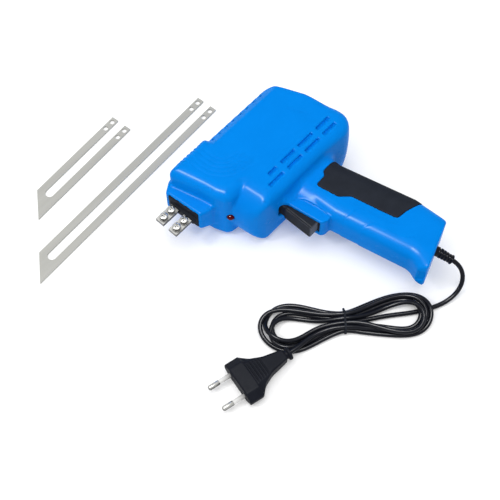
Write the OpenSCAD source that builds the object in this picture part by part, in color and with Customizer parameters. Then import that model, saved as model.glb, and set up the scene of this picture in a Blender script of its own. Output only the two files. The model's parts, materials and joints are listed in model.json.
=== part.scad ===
// Electric hot knife: pistol-shaped transformer tool lying on its right side,
// with its mains lead in a tied hank and two loose U-shaped hot blades.
// Frame: +X along the blade direction, +Y towards the handle, +Z up.
// Origin: on the surface, under the blade centre line.

/* [Housing] */
// Thickness of the body across both shells
body_t = 62; // [60:1:64]
// Wall of the shells
wall = 2.5; // [2.2:0.1:2.8]
// Thickness of the handle
handle_t = 34; // [33:1:35]
// Thickness of the snout
snout_t = 22; // [21.5:0.5:23]

/* [Trigger] */
// Width of the trigger across the handle
trigger_w = 13.6; // [12.6:0.2:14]
// How far the trigger travels into the handle
trigger_travel = 5; // [3:0.5:5]

/* [Terminals] */
// Distance between the two terminal bars, centre to centre
leg_pitch = 13.5; // [13.3:0.1:13.7]
// Distance between the two screws on one bar
hole_pitch = 8; // [7.6:0.1:8.4]
// Thickness of a terminal bar
bar_t = 3; // [2.6:0.1:3]

/* [Blades] */
// Overall length of the long blade
long_len = 209; // [180:1:220]
// Overall length of the short blade
short_len = 109.5; // [95:0.5:120]
// Thickness of the blade strip
blade_t = 1.5; // [1:0.1:2]

/* [Cord] */
// Diameter of the mains lead
cord_d = 3.6; // [3.2:0.1:3.8]

/* [Hidden] */
$fn = 48;
zm = body_t/2;                 // parting plane of the two shells
ct = sqrt(2);
leg_w = 6;                     // width of one blade leg
blade_w = leg_pitch + leg_w;   // width of a blade

blue = [0.0, 0.52, 0.94];
charcoal = [0.15, 0.16, 0.2];
black = [0.1, 0.1, 0.12];
nickel = [0.82, 0.82, 0.8];
steel = [0.74, 0.73, 0.69];
copper = [0.78, 0.45, 0.25];

// ---- outline helpers: polygons are lists of [x, y, corner radius] ----
function unit(v) = v/norm(v);
function at(P, i) = P[(i + len(P)) % len(P)];
function dirn(P, i) = unit([at(P, i + 1)[0] - at(P, i)[0], at(P, i + 1)[1] - at(P, i)[1]]);
function rot90(v) = [-v[1], v[0]];
function turned(v, a) = [v[0]*cos(a) - v[1]*sin(a), v[0]*sin(a) + v[1]*cos(a)];
function shrink(P, d) = [for (i = [0:len(P) - 1]) let (a = rot90(dirn(P, i - 1)), b = rot90(dirn(P, i)), m = (a + b)/(1 + a*b))
  [P[i][0] + d*m[0], P[i][1] + d*m[1], max(P[i][2] - d, 0)]];
function rounded(P, n = 4) = [for (i = [0:len(P) - 1])
  let (u = dirn(P, i - 1), v = dirn(P, i), r = P[i][2], c = u[0]*v[1] - u[1]*v[0], s = c >= 0 ? 1 : -1, t = acos(max(-1, min(1, u*v))), b = [P[i][0], P[i][1]])
  each (r < 0.05 || t < 0.5) ? [b] : let (m = b - u*r*tan(t/2) + s*rot90(u)*r) [for (k = [0:n]) m + turned(-s*rot90(u)*r, s*t*k/n)]];

// side, front and plan profiles as prisms
module side(P, d = 0) { translate([0, 0, -2]) linear_extrude(body_t + 4) polygon(rounded(shrink(P, d))); }
module front(P, x0, x1, d = 0) { translate([x0, 0, 0]) rotate([90, 0, 90]) linear_extrude(x1 - x0) polygon(rounded(shrink(P, d))); }
module plan(P, y0, y1, d = 0) { translate([0, y1, 0]) rotate([90, 0, 0]) linear_extrude(y1 - y0) polygon(rounded(shrink(P, d))); }
module box(a, b) { translate(a) cube(b - a); }
module rod(a, b, r, n = 32) { v = b - a; translate(a) rotate([0, acos(v[2]/norm(v)), atan2(v[1], v[0])]) cylinder(r = r, h = norm(v), $fn = n); }

// ---- swept tubes ----
function cat(P, i, t) = let (a = P[max(i - 1, 0)], b = P[i], c = P[i + 1], d = P[min(i + 2, len(P) - 1)])
  0.5*((2*b) + (c - a)*t + (2*a - 5*b + 4*c - d)*t*t + (3*b - a - 3*c + d)*t*t*t);
function smooth(P, n) = concat([for (i = [0:len(P) - 2], k = [0:n - 1]) cat(P, i, k/n)], [P[len(P) - 1]]);
module tube(P, r, m, ref) {
  N = len(P);
  T = [for (i = [0:N - 1]) unit(P[min(i + 1, N - 1)] - P[max(i - 1, 0)])];
  pts = [for (i = [0:N - 1]) let (a = unit(cross(T[i], ref)), b = cross(T[i], a)) each [for (k = [0:m - 1]) P[i] + r*(cos(360*k/m)*a + sin(360*k/m)*b)]];
  faces = concat([[for (k = [0:m - 1]) m - 1 - k]], [[for (k = [0:m - 1]) (N - 1)*m + k]],
    [for (i = [0:N - 2], k = [0:m - 1]) each [[i*m + k, i*m + (k + 1) % m, (i + 1)*m + k], [i*m + (k + 1) % m, (i + 1)*m + (k + 1) % m, (i + 1)*m + k]]]);
  polyhedron(points = pts, faces = [for (f = faces) [for (k = [len(f) - 1:-1:0]) f[k]]]);
}

// ---- housing ----
body_side = [[-42.6, -19.8, 11], [34, -19.8, 0], [46, 24, 0], [54.8, 27, 2], [51.6, 54, 17], [-62.8, 55, 14], [-61, 36, 0], [-54.4, 9, 0]];
body_front = [[-10.5, 0, 0], [55, 0, 10], [55, body_t, 10], [-10.5, body_t, 0], [-19.8, body_t - 9, 0], [-19.8, 9, 0]];
nose_side = [[24, -12, 0], [28, -22, 4], [54, -22, 10], [68.4, -19.8, 3], [60.5, 16, 8], [56, 31.5, 7], [44, 33, 0], [24, 33, 0]];
nose_front = [[-22, 0, 9], [33, 0, 3], [33, body_t, 3], [-22, body_t, 9]];
snout_side = [[52, -20.5, 0], [66, -20.5, 2], [74.6, -14.5, 1], [74.6, 16, 2.5], [64, 19.5, 4], [52, 19.5, 0]];
snout_plan = [[52, zm - snout_t/2 - 4.2, 0], [74.6, zm - snout_t/2, 2], [74.6, zm + snout_t/2, 2], [52, zm + snout_t/2 + 4.2, 0]];
handle_side = [[-33, 46, 0], [11, 46, 0], [8.9, 90, 0], [-5.2, 156, 10], [-1.4, 165.4, 3], [-5, 171.6, 3], [-46.6, 157.2, 4], [-48.6, 148, 0], [-47.6, 128, 0], [-32.8, 66, 8]];
toe_sec = [[-70, zm - handle_t/2, 0], [0.2, zm - handle_t/2, 12], [0.2, zm + handle_t/2, 12], [-70, zm + handle_t/2, 0]];
handle_sec = [[-70, zm - handle_t/2, 0], [0.2, zm - handle_t/2, 13], [0.2, zm + handle_t/2, 13], [-70, zm + handle_t/2, 0]];
back_sec = [[-1.2, zm - handle_t/2, 11], [70, zm - handle_t/2, 0], [70, zm + handle_t/2, 0], [-1.2, zm + handle_t/2, 11]];
boss_side = [[-6, 50, 0], [17, 50, 1], [17, 87, 2], [14, 89.6, 2], [-6, 89.6, 0]];
boss_plan = [[-8, zm - 13, 0], [17, zm - 12, 2], [17, zm + 12, 2], [-8, zm + 13, 0]];

module body_core(d) {
  intersection() {
    side(body_side, d);
    front(body_front, -80, 80, d);
    translate([-45.5, -20.5, 0]) rotate([0, 0, 13.7]) plan([[-1.3, 0, 9], [150, 0, 0], [150, body_t, 0], [-1.3, body_t, 9]], -40, 120, d);
    union() { box([-90, -60, -2], [22, 90, body_t + 2]); translate([19.3, -60, zm]) rotate([-90, 0, 0]) cylinder(r = 35.5 - d, h = 150, $fn = 96); }
  }
}
module nose_core(d) {
  intersection() {
    side(nose_side, d);
    front(nose_front, 0, 90, d);
    translate([68.8, -19.8, 0]) rotate([0, 0, 13]) plan([[-80, 0, 0], [0.4, 0, 15], [0.4, body_t, 15], [-80, body_t, 0]], -40, 90, d);
  }
}
module snout_core(d) { intersection() { side(snout_side, d); plan(snout_plan, -40, 40, d); } }
module handle_core(d) {
  intersection() {
    side(handle_side, d);
    union() {
      translate([8.9, 90, 0]) rotate([0, 0, 12]) plan(handle_sec, -80, 100, d);
      translate([-5.2, 156, 0]) rotate([0, 0, -21.8]) plan(toe_sec, -12, 60, d);
    }
    translate([-32.8, 66, 0]) rotate([0, 0, 12.4]) plan(back_sec, -60, 120, d);
  }
}
module boss_core(d) { intersection() { side(boss_side, d); plan(boss_plan, 40, 100, d); } }

exit_p = [-28, 165, zm];           // where the lead leaves the handle
exit_v = [-sin(16), cos(16), 0];   // direction of the lead there
clamp_p = exit_p - 20*exit_v;
screw_xy = [[-42, -6], [40, -15.6], [-52, 42], [40, 44], [-24, 100], [-10, 157]];
screw_deep = [1, 1, 1, 1, 0, 0];
function top_z(i) = screw_deep[i] ? body_t : zm + handle_t/2;
// grip outline on the handle side
grip_xy = [[-3.2, 65.2, 1.5], [-13, 65, 2], [-16.1, 61.3, 3], [-36, 60.6, 0], [-60, 136.5, 0], [-39.5, 133, 2], [-30.5, 130.3, 4], [-21.6, 129, 3], [-18, 114.7, 0], [-13, 91.6, 3], [-6.2, 84.5, 4], [-4, 72.2, 0]];
function flipped(P) = [for (i = [len(P) - 1:-1:0]) P[i]];
module grip_skin(out, into, d) {
  intersection() {
    difference() { handle_core(-out); handle_core(into); }
    side(flipped(grip_xy), d);
    box([-70, 56, zm - 30], [10, 140, zm + 30]);
  }
}
module relief_hole(r) { translate([-28, 165, zm]) rotate([0, 0, 16]) rotate([-90, 0, 0]) translate([0, 0, -12]) cylinder(r = r, h = 20); }
module shell() {
  difference() {
    union() {
      difference() {
        union() { body_core(0); nose_core(0); snout_core(0); handle_core(0); boss_core(0); }
        body_core(wall); nose_core(wall); handle_core(wall); boss_core(wall);
        box([40, -12, zm - 10], [66, 14, zm + 10]);
        box([-4, 57, zm - 10.4], [10, 86.8, zm + 10.4]);
        intersection() { box([-28, 46, zm - handle_t/2 + wall], [8, 62, zm + handle_t/2 - wall]); handle_core(wall); }
      }
      // screw posts, core pads, switch pads and cord posts, trimmed to the inside
      intersection() {
        union() {
          for (i = [0:5]) translate([screw_xy[i][0], screw_xy[i][1], -1]) cylinder(r = 4, h = body_t + 2);
          for (x = [-37, 7]) { box([x, 21, -1], [x + 4, 29, 15]); box([x, 21, 47], [x + 4, 29, body_t + 1]); }
          for (x = [-24, -13]) { box([x, 66, -1], [x + 3, 82, zm - 8]); box([x, 66, zm + 8], [x + 3, 82, body_t + 1]); }
          for (p = [-5.2, 5.2]) translate(clamp_p) rotate([0, 0, 16]) translate([p, 0, -zm - 1]) cylinder(r = 2.6, h = zm - 1);
          translate([-28, 165, zm]) rotate([0, 0, 16]) box([-7, -9, -30], [7, -4, 30]);
        }
        union() { body_core(0.6); nose_core(0.6); handle_core(0.6); }
      }
    }
    // snout mouth and stepped seat of the insulator
    box([60, -12.2, zm - 9.3], [80, 13.8, zm + 9.3]);
    box([58, -13.2, zm - 10.3], [66, 14.8, zm + 10.3]);
    // trigger window
    box([8, 57.6, zm - trigger_w/2 - 0.4], [20, 84.4, zm + trigger_w/2 + 0.4]);
    // lamp hole
    translate([48, 29.4, zm]) rotate([0, 90, 0]) cylinder(r = 2.6, h = 10);
    // lead exit
    relief_hole(4.1);
    // screw bores from the right side
    for (i = [0:5]) translate([screw_xy[i][0], screw_xy[i][1], body_t - top_z(i)]) { translate([0, 0, -3]) cylinder(r = 3.2, h = 8); cylinder(r = 1.6, h = zm - body_t + top_z(i) + 12); }
    for (p = [-5.2, 5.2]) translate(clamp_p) rotate([0, 0, 16]) translate([p, 0, -11]) cylinder(r = 1.1, h = 20);
    // louvre slots of both sides, two rows of four
    for (s = [0, 1]) for (row = [0, 1]) for (k = [0:3]) let (x1 = [row == 0 ? 20.5 : 27.5, 6.5, -14, -34.5][k], n = (row == 0 && k == 0) ? 9 : 15)
      box([x1 - n, 36.6 + 7*row, s ? body_t - wall - 2 : -2], [x1, 39 + 7*row, s ? body_t + 2 : wall + 2]);
    // vents across the top
    for (k = [0:7]) box([22.8 - 7.75*k, -24, zm - 17], [24.8 - 7.75*k, -17.5, zm + 17]);
    grip_skin(1, 1.6, 0);
  }
}
module left_housing() { color(blue) intersection() { shell(); box([-90, -60, zm], [100, 190, body_t + 5]); } }
module right_housing() { color(blue) intersection() { shell(); box([-90, -60, -5], [100, 190, zm]); } }
module housing_screws() {
  color("dimgray") for (i = [0:5]) translate([screw_xy[i][0], screw_xy[i][1], body_t - top_z(i)]) difference() {
    union() { translate([0, 0, 2.6]) cylinder(r = 2.9, h = 2.4); translate([0, 0, 4.9]) cylinder(r = 1.55, h = zm - body_t + top_z(i) + 6); }
    translate([0, 0, 2.2]) { box([-1.8, -0.4, 0], [1.8, 0.4, 1.4]); box([-0.4, -1.8, 0], [0.4, 1.8, 1.4]); }
  }
}
module left_grip() { color(charcoal) intersection() { grip_skin(0.35, 1.55, 0.08); box([-90, 0, zm + 0.05], [40, 190, body_t]); } }
module right_grip() { color(charcoal) intersection() { grip_skin(0.35, 1.55, 0.08); box([-90, 0, 0], [40, 190, zm - 0.05]); } }

// ---- nose: insulator, terminal bars and screws ----
bar_z = zm - 1;
screw_x = 81.5;
module nose_insulator() {
  color(black) difference() {
    union() { box([60.2, -12.1, zm - 9.2], [75.2, 13.7, zm + 9.2]); box([58.2, -13.1, zm - 10.2], [65.9, 14.7, zm + 10.2]); }
    for (s = [-1, 1]) box([50, s*leg_pitch/2 - 4.1, bar_z - 0.05], [90, s*leg_pitch/2 + 4.1, bar_z + bar_t + 0.05]);
  }
}
module bar(s) {
  color(nickel) difference() {
    box([44, s*leg_pitch/2 - 4, bar_z], [94.4, s*leg_pitch/2 + 4, bar_z + bar_t]);
    for (k = [0, 1]) translate([screw_x + k*hole_pitch, s*leg_pitch/2, bar_z - 1]) cylinder(r = 2.02, h = bar_t + 2);
    translate([48.5, s*leg_pitch/2, bar_z - 1]) cylinder(r = 1.52, h = bar_t + 2);
  }
}
module upper_terminal() { bar(-1); }
module lower_terminal() { bar(1); }
module terminal_screws() {
  color(nickel) for (s = [-1, 1]) for (k = [0, 1]) translate([screw_x + k*hole_pitch, s*leg_pitch/2, bar_z + bar_t + 0.8]) difference() {
    union() { cylinder(r = 3.4, h = 2.4); translate([0, 0, -7]) cylinder(r = 2, h = 7.1); }
    translate([0, 0, 1.2]) { box([-2, -0.45, 0], [2, 0.45, 2]); box([-0.45, -2, 0], [0.45, 2, 2]); }
  }
}
module terminal_washers() {
  color(nickel) for (s = [-1, 1]) for (k = [0, 1]) translate([screw_x + k*hole_pitch, s*leg_pitch/2, bar_z + bar_t]) difference() {
    cylinder(r = 3.75, h = 0.8);
    translate([0, 0, -1]) cylinder(r = 2.1, h = 3);
  }
}
module terminal_rivets() {
  color(nickel) for (s = [-1, 1]) translate([48.5, s*leg_pitch/2, bar_z]) {
    translate([0, 0, -2.5]) cylinder(r = 1.5, h = bar_t + 2.5);
    translate([0, 0, bar_t]) cylinder(r = 2.6, h = 1.2);
    translate([0, 0, -3.7]) cylinder(r = 2.6, h = 1.2);
  }
}

// ---- transformer ----
module transformer_core() {
  color("darkslategray") difference() {
    box([-38, -14, 15], [12, 46, 47]);
    box([-28, -4, 10], [2, 6, 50]);
    box([-28, 26, 10], [2, 36, 50]);
    for (x = [-33, 7]) for (y = [-9, 41]) translate([x, y, 10]) cylinder(r = 2.1, h = 50);
  }
}
module core_bolts() {
  color("silver") for (x = [-33, 7]) for (y = [-9, 41]) translate([x, y, 0]) {
    translate([0, 0, 15]) cylinder(r = 2, h = 32);
    translate([0, 0, 47]) cylinder(r = 3.4, h = 2.6, $fn = 6);
    translate([0, 0, 12.4]) cylinder(r = 3.4, h = 2.6, $fn = 6);
  }
}
module winding_bobbin() {
  color("ivory") difference() {
    union() {
      box([-27.7, 4.8, 13.8], [1.7, 27.2, 48.2]);
      for (x = [-27.7, -6, 0.5]) box([x, -3.7, 6], [x + 1.2, 35.7, 56]);
    }
    box([-30, 6, 15], [5, 26, 47]);
    box([0, -3.4, 50], [3, 16.8, 60]);
  }
}
module primary_winding() {
  color([0.62, 0.28, 0.12]) difference() {
    box([-26.4, -3, 7], [-6.1, 35, 55]);
    box([-30, 4.7, 13.7], [0, 27.3, 48.3]);
  }
}
module secondary_winding() {
  color(copper) {
    difference() { box([-4.6, -3, 8], [0.3, 35, 53]); box([-6, 4.7, 13.7], [2, 27.3, 48.3]); box([-6, 4, 48.2], [2, 10, 60]); }
    box([-4.6, -3, 50.4], [28, 3.2, 53]);
    box([-4.6, 10.2, 50.4], [28, 16.4, 53]);
    for (s = [-1, 1]) difference() {
      union() {
        box([25.4, s < 0 ? -leg_pitch/2 - 3.6 : 3.6, bar_z - 2.5], [28, s < 0 ? 3.2 : 16.4, 53]);
        box([25.4, s*leg_pitch/2 - 3.6, bar_z - 2.5], [54, s*leg_pitch/2 + 3.6, bar_z]);
      }
      translate([48.5, s*leg_pitch/2, bar_z - 5]) cylinder(r = 1.52, h = 8);
    }
  }
}
module thermal_fuse() {
  color("whitesmoke") { rod([-21, 16, 57], [-11, 16, 57], 2); rod([-23, 16, 57], [-21, 16, 57], 0.5); rod([-11, 16, 57], [-9, 16, 57], 0.5); }
}

// ---- switch and trigger ----
module switch_body() {
  color(black) difference() {
    union() { box([-25, 64, zm - 8], [-9, 84, zm + 8]); box([-27, 67, zm - 5], [-25, 69, zm - 3]); box([-27, 79, zm - 5], [-25, 81, zm - 3]); }
    translate([-22, 74, zm]) rotate([0, 90, 0]) cylinder(r = 2.05, h = 20);
  }
}
module switch_plunger() { color("ivory") translate([-15, 74, zm]) rotate([0, 90, 0]) cylinder(r = 2, h = 20.5); }
module trigger() {
  color(black) difference() {
    union() {
      difference() {
        box([1.5, 58, zm - trigger_w/2], [23.5, 84, zm + trigger_w/2]);
        for (s = [0, 1]) translate([23.5, 0, s ? zm + trigger_w/2 : zm - trigger_w/2]) rotate([0, 45, 0]) box([-1, 50, -1], [1, 90, 1]);
      }
      box([1.5, 58, zm - 9.6], [4.5, 84, zm + 9.6]);
    }
    translate([0, 74, zm]) rotate([0, 90, 0]) cylinder(r = 2, h = 5.5);
    box([1, 60.5, zm - 4.6], [3, 69, zm + 4.6]);
  }
}
spring_turns = 4;
spring_pts = [for (k = [0:spring_turns*8]) [-8.3 + 9.1*k/(spring_turns*8), 74 + 3.6*cos(45*k), zm + 3.6*sin(45*k)]];
module trigger_spring() { color("silver") tube(spring_pts, 0.45, 6, [1, 0, 0]); }

// ---- lamp ----
module led_lens() {
  color("red") translate([47.6, 29.4, zm]) rotate([0, 90, 0]) rotate_extrude($fn = 32)
    polygon(concat([[0, 0], [2.9, 0], [2.9, 1], [2.5, 1]], [for (k = [0:5]) [2.5*cos(15*k), 6 + 2.5*sin(15*k)]], [[0, 8.5]]));
}
module led_board() { color("darkgreen") { box([45.8, 22, zm - 6], [47.4, 36, zm + 6]); box([43.2, 31.5, zm - 3], [45.9, 34, zm + 3]); } }

// ---- lead entry ----
boot_v = unit([-0.33, 0.86, -0.39]);
boot_len = 13;
boot_end = exit_p + boot_len*boot_v;
module inner_cord() { color(black) rod(exit_p - 30*exit_v, exit_p - 11.9*exit_v, cord_d/2); }
module strain_relief() {
  color(black) {
    rod(exit_p - 11.8*exit_v, exit_p - 9.2*exit_v, 5.2);
    rod(exit_p - 11*exit_v, exit_p + 1.4*exit_v, 4);
    translate(exit_p) rotate([0, acos(boot_v[2]), atan2(boot_v[1], boot_v[0])]) rotate_extrude($fn = 40)
      polygon([[0, -1], [3.1, -1], [3.1, 1.6], [3.9, 2.4], [3.8, 4], [3.2, 4.4], [3.2, 5.4], [3.7, 5.8], [3.6, 7.4], [3, 7.8], [3, 8.8], [3.5, 9.2], [3.4, boot_len], [0, boot_len]]);
  }
}
module cord_clamp() {
  color("ivory") translate(clamp_p) rotate([0, 0, 16]) difference() {
    union() { box([-8, -4, cord_d/2 + 0.05], [8, 4, cord_d/2 + 2.4]); for (p = [-5.2, 5.2]) translate([p, 0, -1.95]) cylinder(r = 2.5, h = 4); }
    for (p = [-5.2, 5.2]) translate([p, 0, -5]) cylinder(r = 1.25, h = 20);
  }
}
module clamp_screws() {
  color("silver") translate(clamp_p) rotate([0, 0, 16]) for (p = [-5.2, 5.2]) translate([p, 0, cord_d/2 + 2.4]) {
    translate([0, 0, -13.8]) cylinder(r = 1.08, h = 14);
    cylinder(r = 2.2, h = 1.6);
  }
}
wire_a = exit_p - 30*exit_v;
module live_wire() { color("saddlebrown") tube(smooth([wire_a + [-0.9, 0, 0], [-23, 128, 31], [-28, 116, 30], [-31, 104, 29], [-31, 92, 27.5], [-29.5, 84, 27], [-26.5, 80, 27]], 2), 0.8, 8, [0.1, 0.1, 1]); }
module neutral_wire() { color("steelblue") tube(smooth([wire_a + [0.9, 0, 0], [-17, 128, 31], [-14, 112, 32], [-12, 98, 34], [-8, 88, 39.5], [-6, 76, 42], [-5, 62, 42.4], [-6, 54, 42.8], [-8, 49, 47], [-10, 43, 50.5], [-11.5, 34.8, 51.5]], 2), 0.8, 8, [1, 0.1, 0.1]); }
module switch_wire() { color("black") tube(smooth([[-26.5, 68, 27], [-27.6, 65, 28], [-25, 60, 31], [-22, 55, 37], [-21.5, 50, 43], [-22, 44, 51], [-22.6, 36, 57], [-23, 26, 57.6], [-23, 16.5, 57]], 2), 0.8, 8, [1, 0.1, 0.1]); }
module led_wire() { color("firebrick") tube(smooth([[45.4, 33, 33], [40, 36, 34], [32, 38, 38], [18, 47.5, 47], [4, 49.5, 48], [-8, 48, 50], [-15, 42, 51], [-17, 34.8, 51.5]], 2), 0.6, 8, [0.1, 0.1, 1]); }

// ---- mains lead outside the tool ----
lead_route = [boot_end, [-33, 181, 22], [-32, 185.4, 17.8], [-30, 188, 14.5], [-27.3, 189.9, 11.4], [-23.8, 191.2, 8.3], [-19.4, 191.5, 5.4], [-13.5, 190.7, 3], [-7.5, 188.7, 2], [-1, 185.6, 2]];
module cord_lead() { color(black) tube(smooth(lead_route, 1), cord_d/2, 8, [0.5, 0.2, 0.85]); }
hank_a = [89, 110.5];
hank_b = [14, 178.5];
hank_dir = atan2(hank_b[1] - hank_a[1], hank_b[0] - hank_a[0]);
hank_len = norm(hank_b - hank_a);
hank_h = 9;
module cord_hank() {
  color(black) translate([hank_a[0], hank_a[1], 0]) rotate([0, 0, hank_dir]) difference() {
    linear_extrude(hank_h) union() {
      circle(r = 17, $fn = 64);
      translate([hank_len, 0]) circle(r = 17, $fn = 64);
      polygon([[0, -17], [hank_len/2, -10], [hank_len, -17], [hank_len, 17], [hank_len/2, 10], [0, 17]]);
    }
    box([hank_len/2 - 2.6, -30, -1], [hank_len/2 + 2.6, 30, 0.8]);
    box([hank_len/2 - 2.6, -30, hank_h - 0.5], [hank_len/2 + 2.6, 30, hank_h + 1]);
  }
}
module hank_tie() {
  color(black) translate([hank_a[0], hank_a[1], 0]) rotate([0, 0, hank_dir]) difference() {
    box([hank_len/2 - 2.5, -11.5, 0], [hank_len/2 + 2.5, 11.5, hank_h + 0.4]);
    box([hank_len/2 - 9, -10.4, 0.8], [hank_len/2 + 9, 10.4, hank_h - 0.5]);
  }
}
// plug: flat two-pin plug lying on its side face
plug_p = [144.75, 119.25];
plug_dir = -14.1;
plug_h = 13.7;
module at_plug() { translate([plug_p[0], plug_p[1], plug_h/2]) rotate([0, 0, plug_dir]) children(); }
plug_xy = [[0, -17.7, 1.5], [0, 17.7, 1.5], [-10.5, 17.7, 1.5], [-17, 11, 6], [-26, 7, 10], [-41, 4.6, 0], [-41, -4.6, 0], [-26, -7, 10], [-17, -11, 6], [-10.5, -17.7, 1.5]];
tail_a = [plug_p[0] - 44*cos(plug_dir), plug_p[1] - 44*sin(plug_dir), plug_h/2];
module cord_tail() { color(black) tube(smooth([tail_a, tail_a + [-4.9, 1.2, -0.3], tail_a + [-9.6, 2.6, -1.2], [88, 134, 4.6]], 1), cord_d/2, 8, [0.1, 0.1, 1]); }
module plug_body() {
  color(charcoal) at_plug() difference() {
    union() {
      intersection() {
        translate([0, 0, -plug_h/2]) linear_extrude(plug_h) polygon(rounded(plug_xy));
        rotate([90, 0, 0]) translate([0, 0, -30]) linear_extrude(60) polygon([[1, -plug_h/2], [1, plug_h/2], [-18, plug_h/2], [-41, 4.6], [-42, 4.6], [-42, -4.6], [-41, -4.6], [-18, -plug_h/2]]);
      }
      translate([-44, 0, 0]) rotate([0, 90, 0]) cylinder(r = 5.4, h = 2.2);
      translate([-43, 0, 0]) rotate([0, 90, 0]) cylinder(r = 4.2, h = 4);
    }
    for (s = [-1, 1]) translate([-8, s*9.45, 0]) rotate([0, 90, 0]) cylinder(r = 1.6, h = 10);
  }
}
module plug_pins() {
  color(nickel) at_plug() for (s = [-1, 1]) translate([0, s*9.45, 0]) rotate([0, 90, 0]) rotate_extrude($fn = 40)
    polygon([[0, -7.9], [1.5, -7.9], [1.5, 10], [2, 10], [2, 17.8], [1.2, 19], [0, 19]]);
}
module pin_sleeves() {
  color("gainsboro") at_plug() for (s = [-1, 1]) translate([0, s*9.45, 0]) rotate([0, 90, 0]) difference() {
    cylinder(r = 1.75, h = 9.95);
    translate([0, 0, -1]) cylinder(r = 1.52, h = 12);
  }
}

// ---- loose hot blades ----
module blade(len, p, a) {
  color(steel) translate([p[0], p[1], 0]) rotate([0, 0, a]) difference() {
    linear_extrude(blade_t) polygon([[0, -blade_w/2], [len - 18.7, -blade_w/2], [len, blade_w/2], [0, blade_w/2]]);
    translate([-1, -(leg_pitch - leg_w)/2, -1]) cube([len - 19.4 - (leg_pitch - leg_w)/2 + 1, leg_pitch - leg_w, blade_t + 2]);
    translate([len - 19.4 - (leg_pitch - leg_w)/2, 0, -1]) cylinder(r = (leg_pitch - leg_w)/2, h = blade_t + 2);
    for (s = [-1, 1]) for (k = [0, 1]) translate([4.2 + k*hole_pitch, s*leg_pitch/2, -1]) cylinder(r = 2.1, h = blade_t + 2);
  }
}
module long_blade() { blade(long_len, [-24.2, -70.5], 2.75); }
module short_blade() { blade(short_len, [37.8, -109.8], 3.5); }

left_housing();
right_housing();
housing_screws();
left_grip();
right_grip();
nose_insulator();
upper_terminal();
lower_terminal();
terminal_screws();
terminal_washers();
terminal_rivets();
transformer_core();
core_bolts();
winding_bobbin();
primary_winding();
secondary_winding();
thermal_fuse();
switch_body();
switch_plunger();
trigger();
trigger_spring();
led_lens();
led_board();
inner_cord();
cord_clamp();
clamp_screws();
live_wire();
neutral_wire();
switch_wire();
led_wire();
strain_relief();
cord_lead();
cord_hank();
hank_tie();
cord_tail();
plug_body();
plug_pins();
pin_sleeves();
long_blade();
short_blade();
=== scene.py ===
import json
import math
from itertools import product

import bpy
import numpy as np
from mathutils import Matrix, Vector


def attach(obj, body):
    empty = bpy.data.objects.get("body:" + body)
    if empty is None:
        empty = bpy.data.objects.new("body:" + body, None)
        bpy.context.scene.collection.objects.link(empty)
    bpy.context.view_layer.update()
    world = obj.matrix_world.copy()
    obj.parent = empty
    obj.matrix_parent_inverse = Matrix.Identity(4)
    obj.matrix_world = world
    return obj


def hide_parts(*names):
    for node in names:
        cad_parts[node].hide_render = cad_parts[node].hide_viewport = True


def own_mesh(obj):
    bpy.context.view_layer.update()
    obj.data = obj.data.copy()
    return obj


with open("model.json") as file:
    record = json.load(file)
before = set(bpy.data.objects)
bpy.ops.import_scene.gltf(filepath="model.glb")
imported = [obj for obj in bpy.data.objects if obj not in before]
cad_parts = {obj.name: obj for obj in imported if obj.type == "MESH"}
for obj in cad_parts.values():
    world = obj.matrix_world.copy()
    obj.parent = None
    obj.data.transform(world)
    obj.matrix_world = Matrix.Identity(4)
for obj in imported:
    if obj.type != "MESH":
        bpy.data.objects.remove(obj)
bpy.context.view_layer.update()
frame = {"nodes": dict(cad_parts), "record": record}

MM = 0.001
ZM = 31.0                       # parting plane of the two shells, mm
scene = bpy.context.scene

# ------------------------------------------------------------------ camera
back = Vector((math.sin(math.radians(132.2)) * math.cos(math.radians(62.5)),
               -math.cos(math.radians(132.2)) * math.cos(math.radians(62.5)),
               math.sin(math.radians(62.5))))
cam_data = bpy.data.cameras.new("camera")
cam_data.sensor_width = 36.0
cam_data.lens = 78.12
cam_data.clip_start = 0.02
cam_data.clip_end = 20.0
camera = bpy.data.objects.new("camera", cam_data)
scene.collection.objects.link(camera)
camera.location = Vector((0.05359, 0.04899, 0.0)) + 0.85 * back
camera.rotation_euler = (-back).to_track_quat("-Z", "Y").to_euler()
scene.camera = camera


# ------------------------------------------------------------------ mains lead
def catmull(P, step):
    """Smooth line through the points, resampled to an even step."""
    P = np.asarray(P, float)
    Q = np.vstack([2 * P[0] - P[1], P, 2 * P[-1] - P[-2]])
    out = []
    for i in range(1, len(Q) - 2):
        a, b, c, d = Q[i - 1:i + 3]
        n = max(4, int(np.linalg.norm(c - b) / 0.4))
        t = np.arange(n)[:, None] / n
        out.append(0.5 * (2 * b + (c - a) * t + (2 * a - 5 * b + 4 * c - d) * t ** 2 + (3 * b - a - 3 * c + d) * t ** 3))
    out = np.vstack(out + [P[-1:]])
    s = np.r_[0, np.cumsum(np.linalg.norm(np.diff(out, axis=0), axis=1))]
    m = int(round(s[-1] / step))
    q = np.linspace(0, s[-1], m + 1)
    return np.stack([np.interp(q, s, out[:, k]) for k in range(3)], 1)


CORD_D = 3.6
HU, HV = np.array([-0.737, 0.676]), np.array([0.676, 0.737])   # along and across the hank
HU, HV = HU / np.linalg.norm(HU), HV / np.linalg.norm(HV)
HC = 59.0 * HU + 141.3 * HV


def hank(u, v, z):
    p = HC + u * HU + v * HV
    return [p[0], p[1], z]


ZB, ZT = 2.75, 5.9              # two layers of runs in the tie
SLOT = {"B1": (-7.2, ZB), "B2": (-3.6, ZB), "B3": (0.0, ZB), "B4": (3.6, ZB), "B5": (7.2, ZB),
        "T1": (-5.4, ZT), "T2": (-1.8, ZT), "T3": (1.8, ZT), "T4": (5.4, ZT)}


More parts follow.
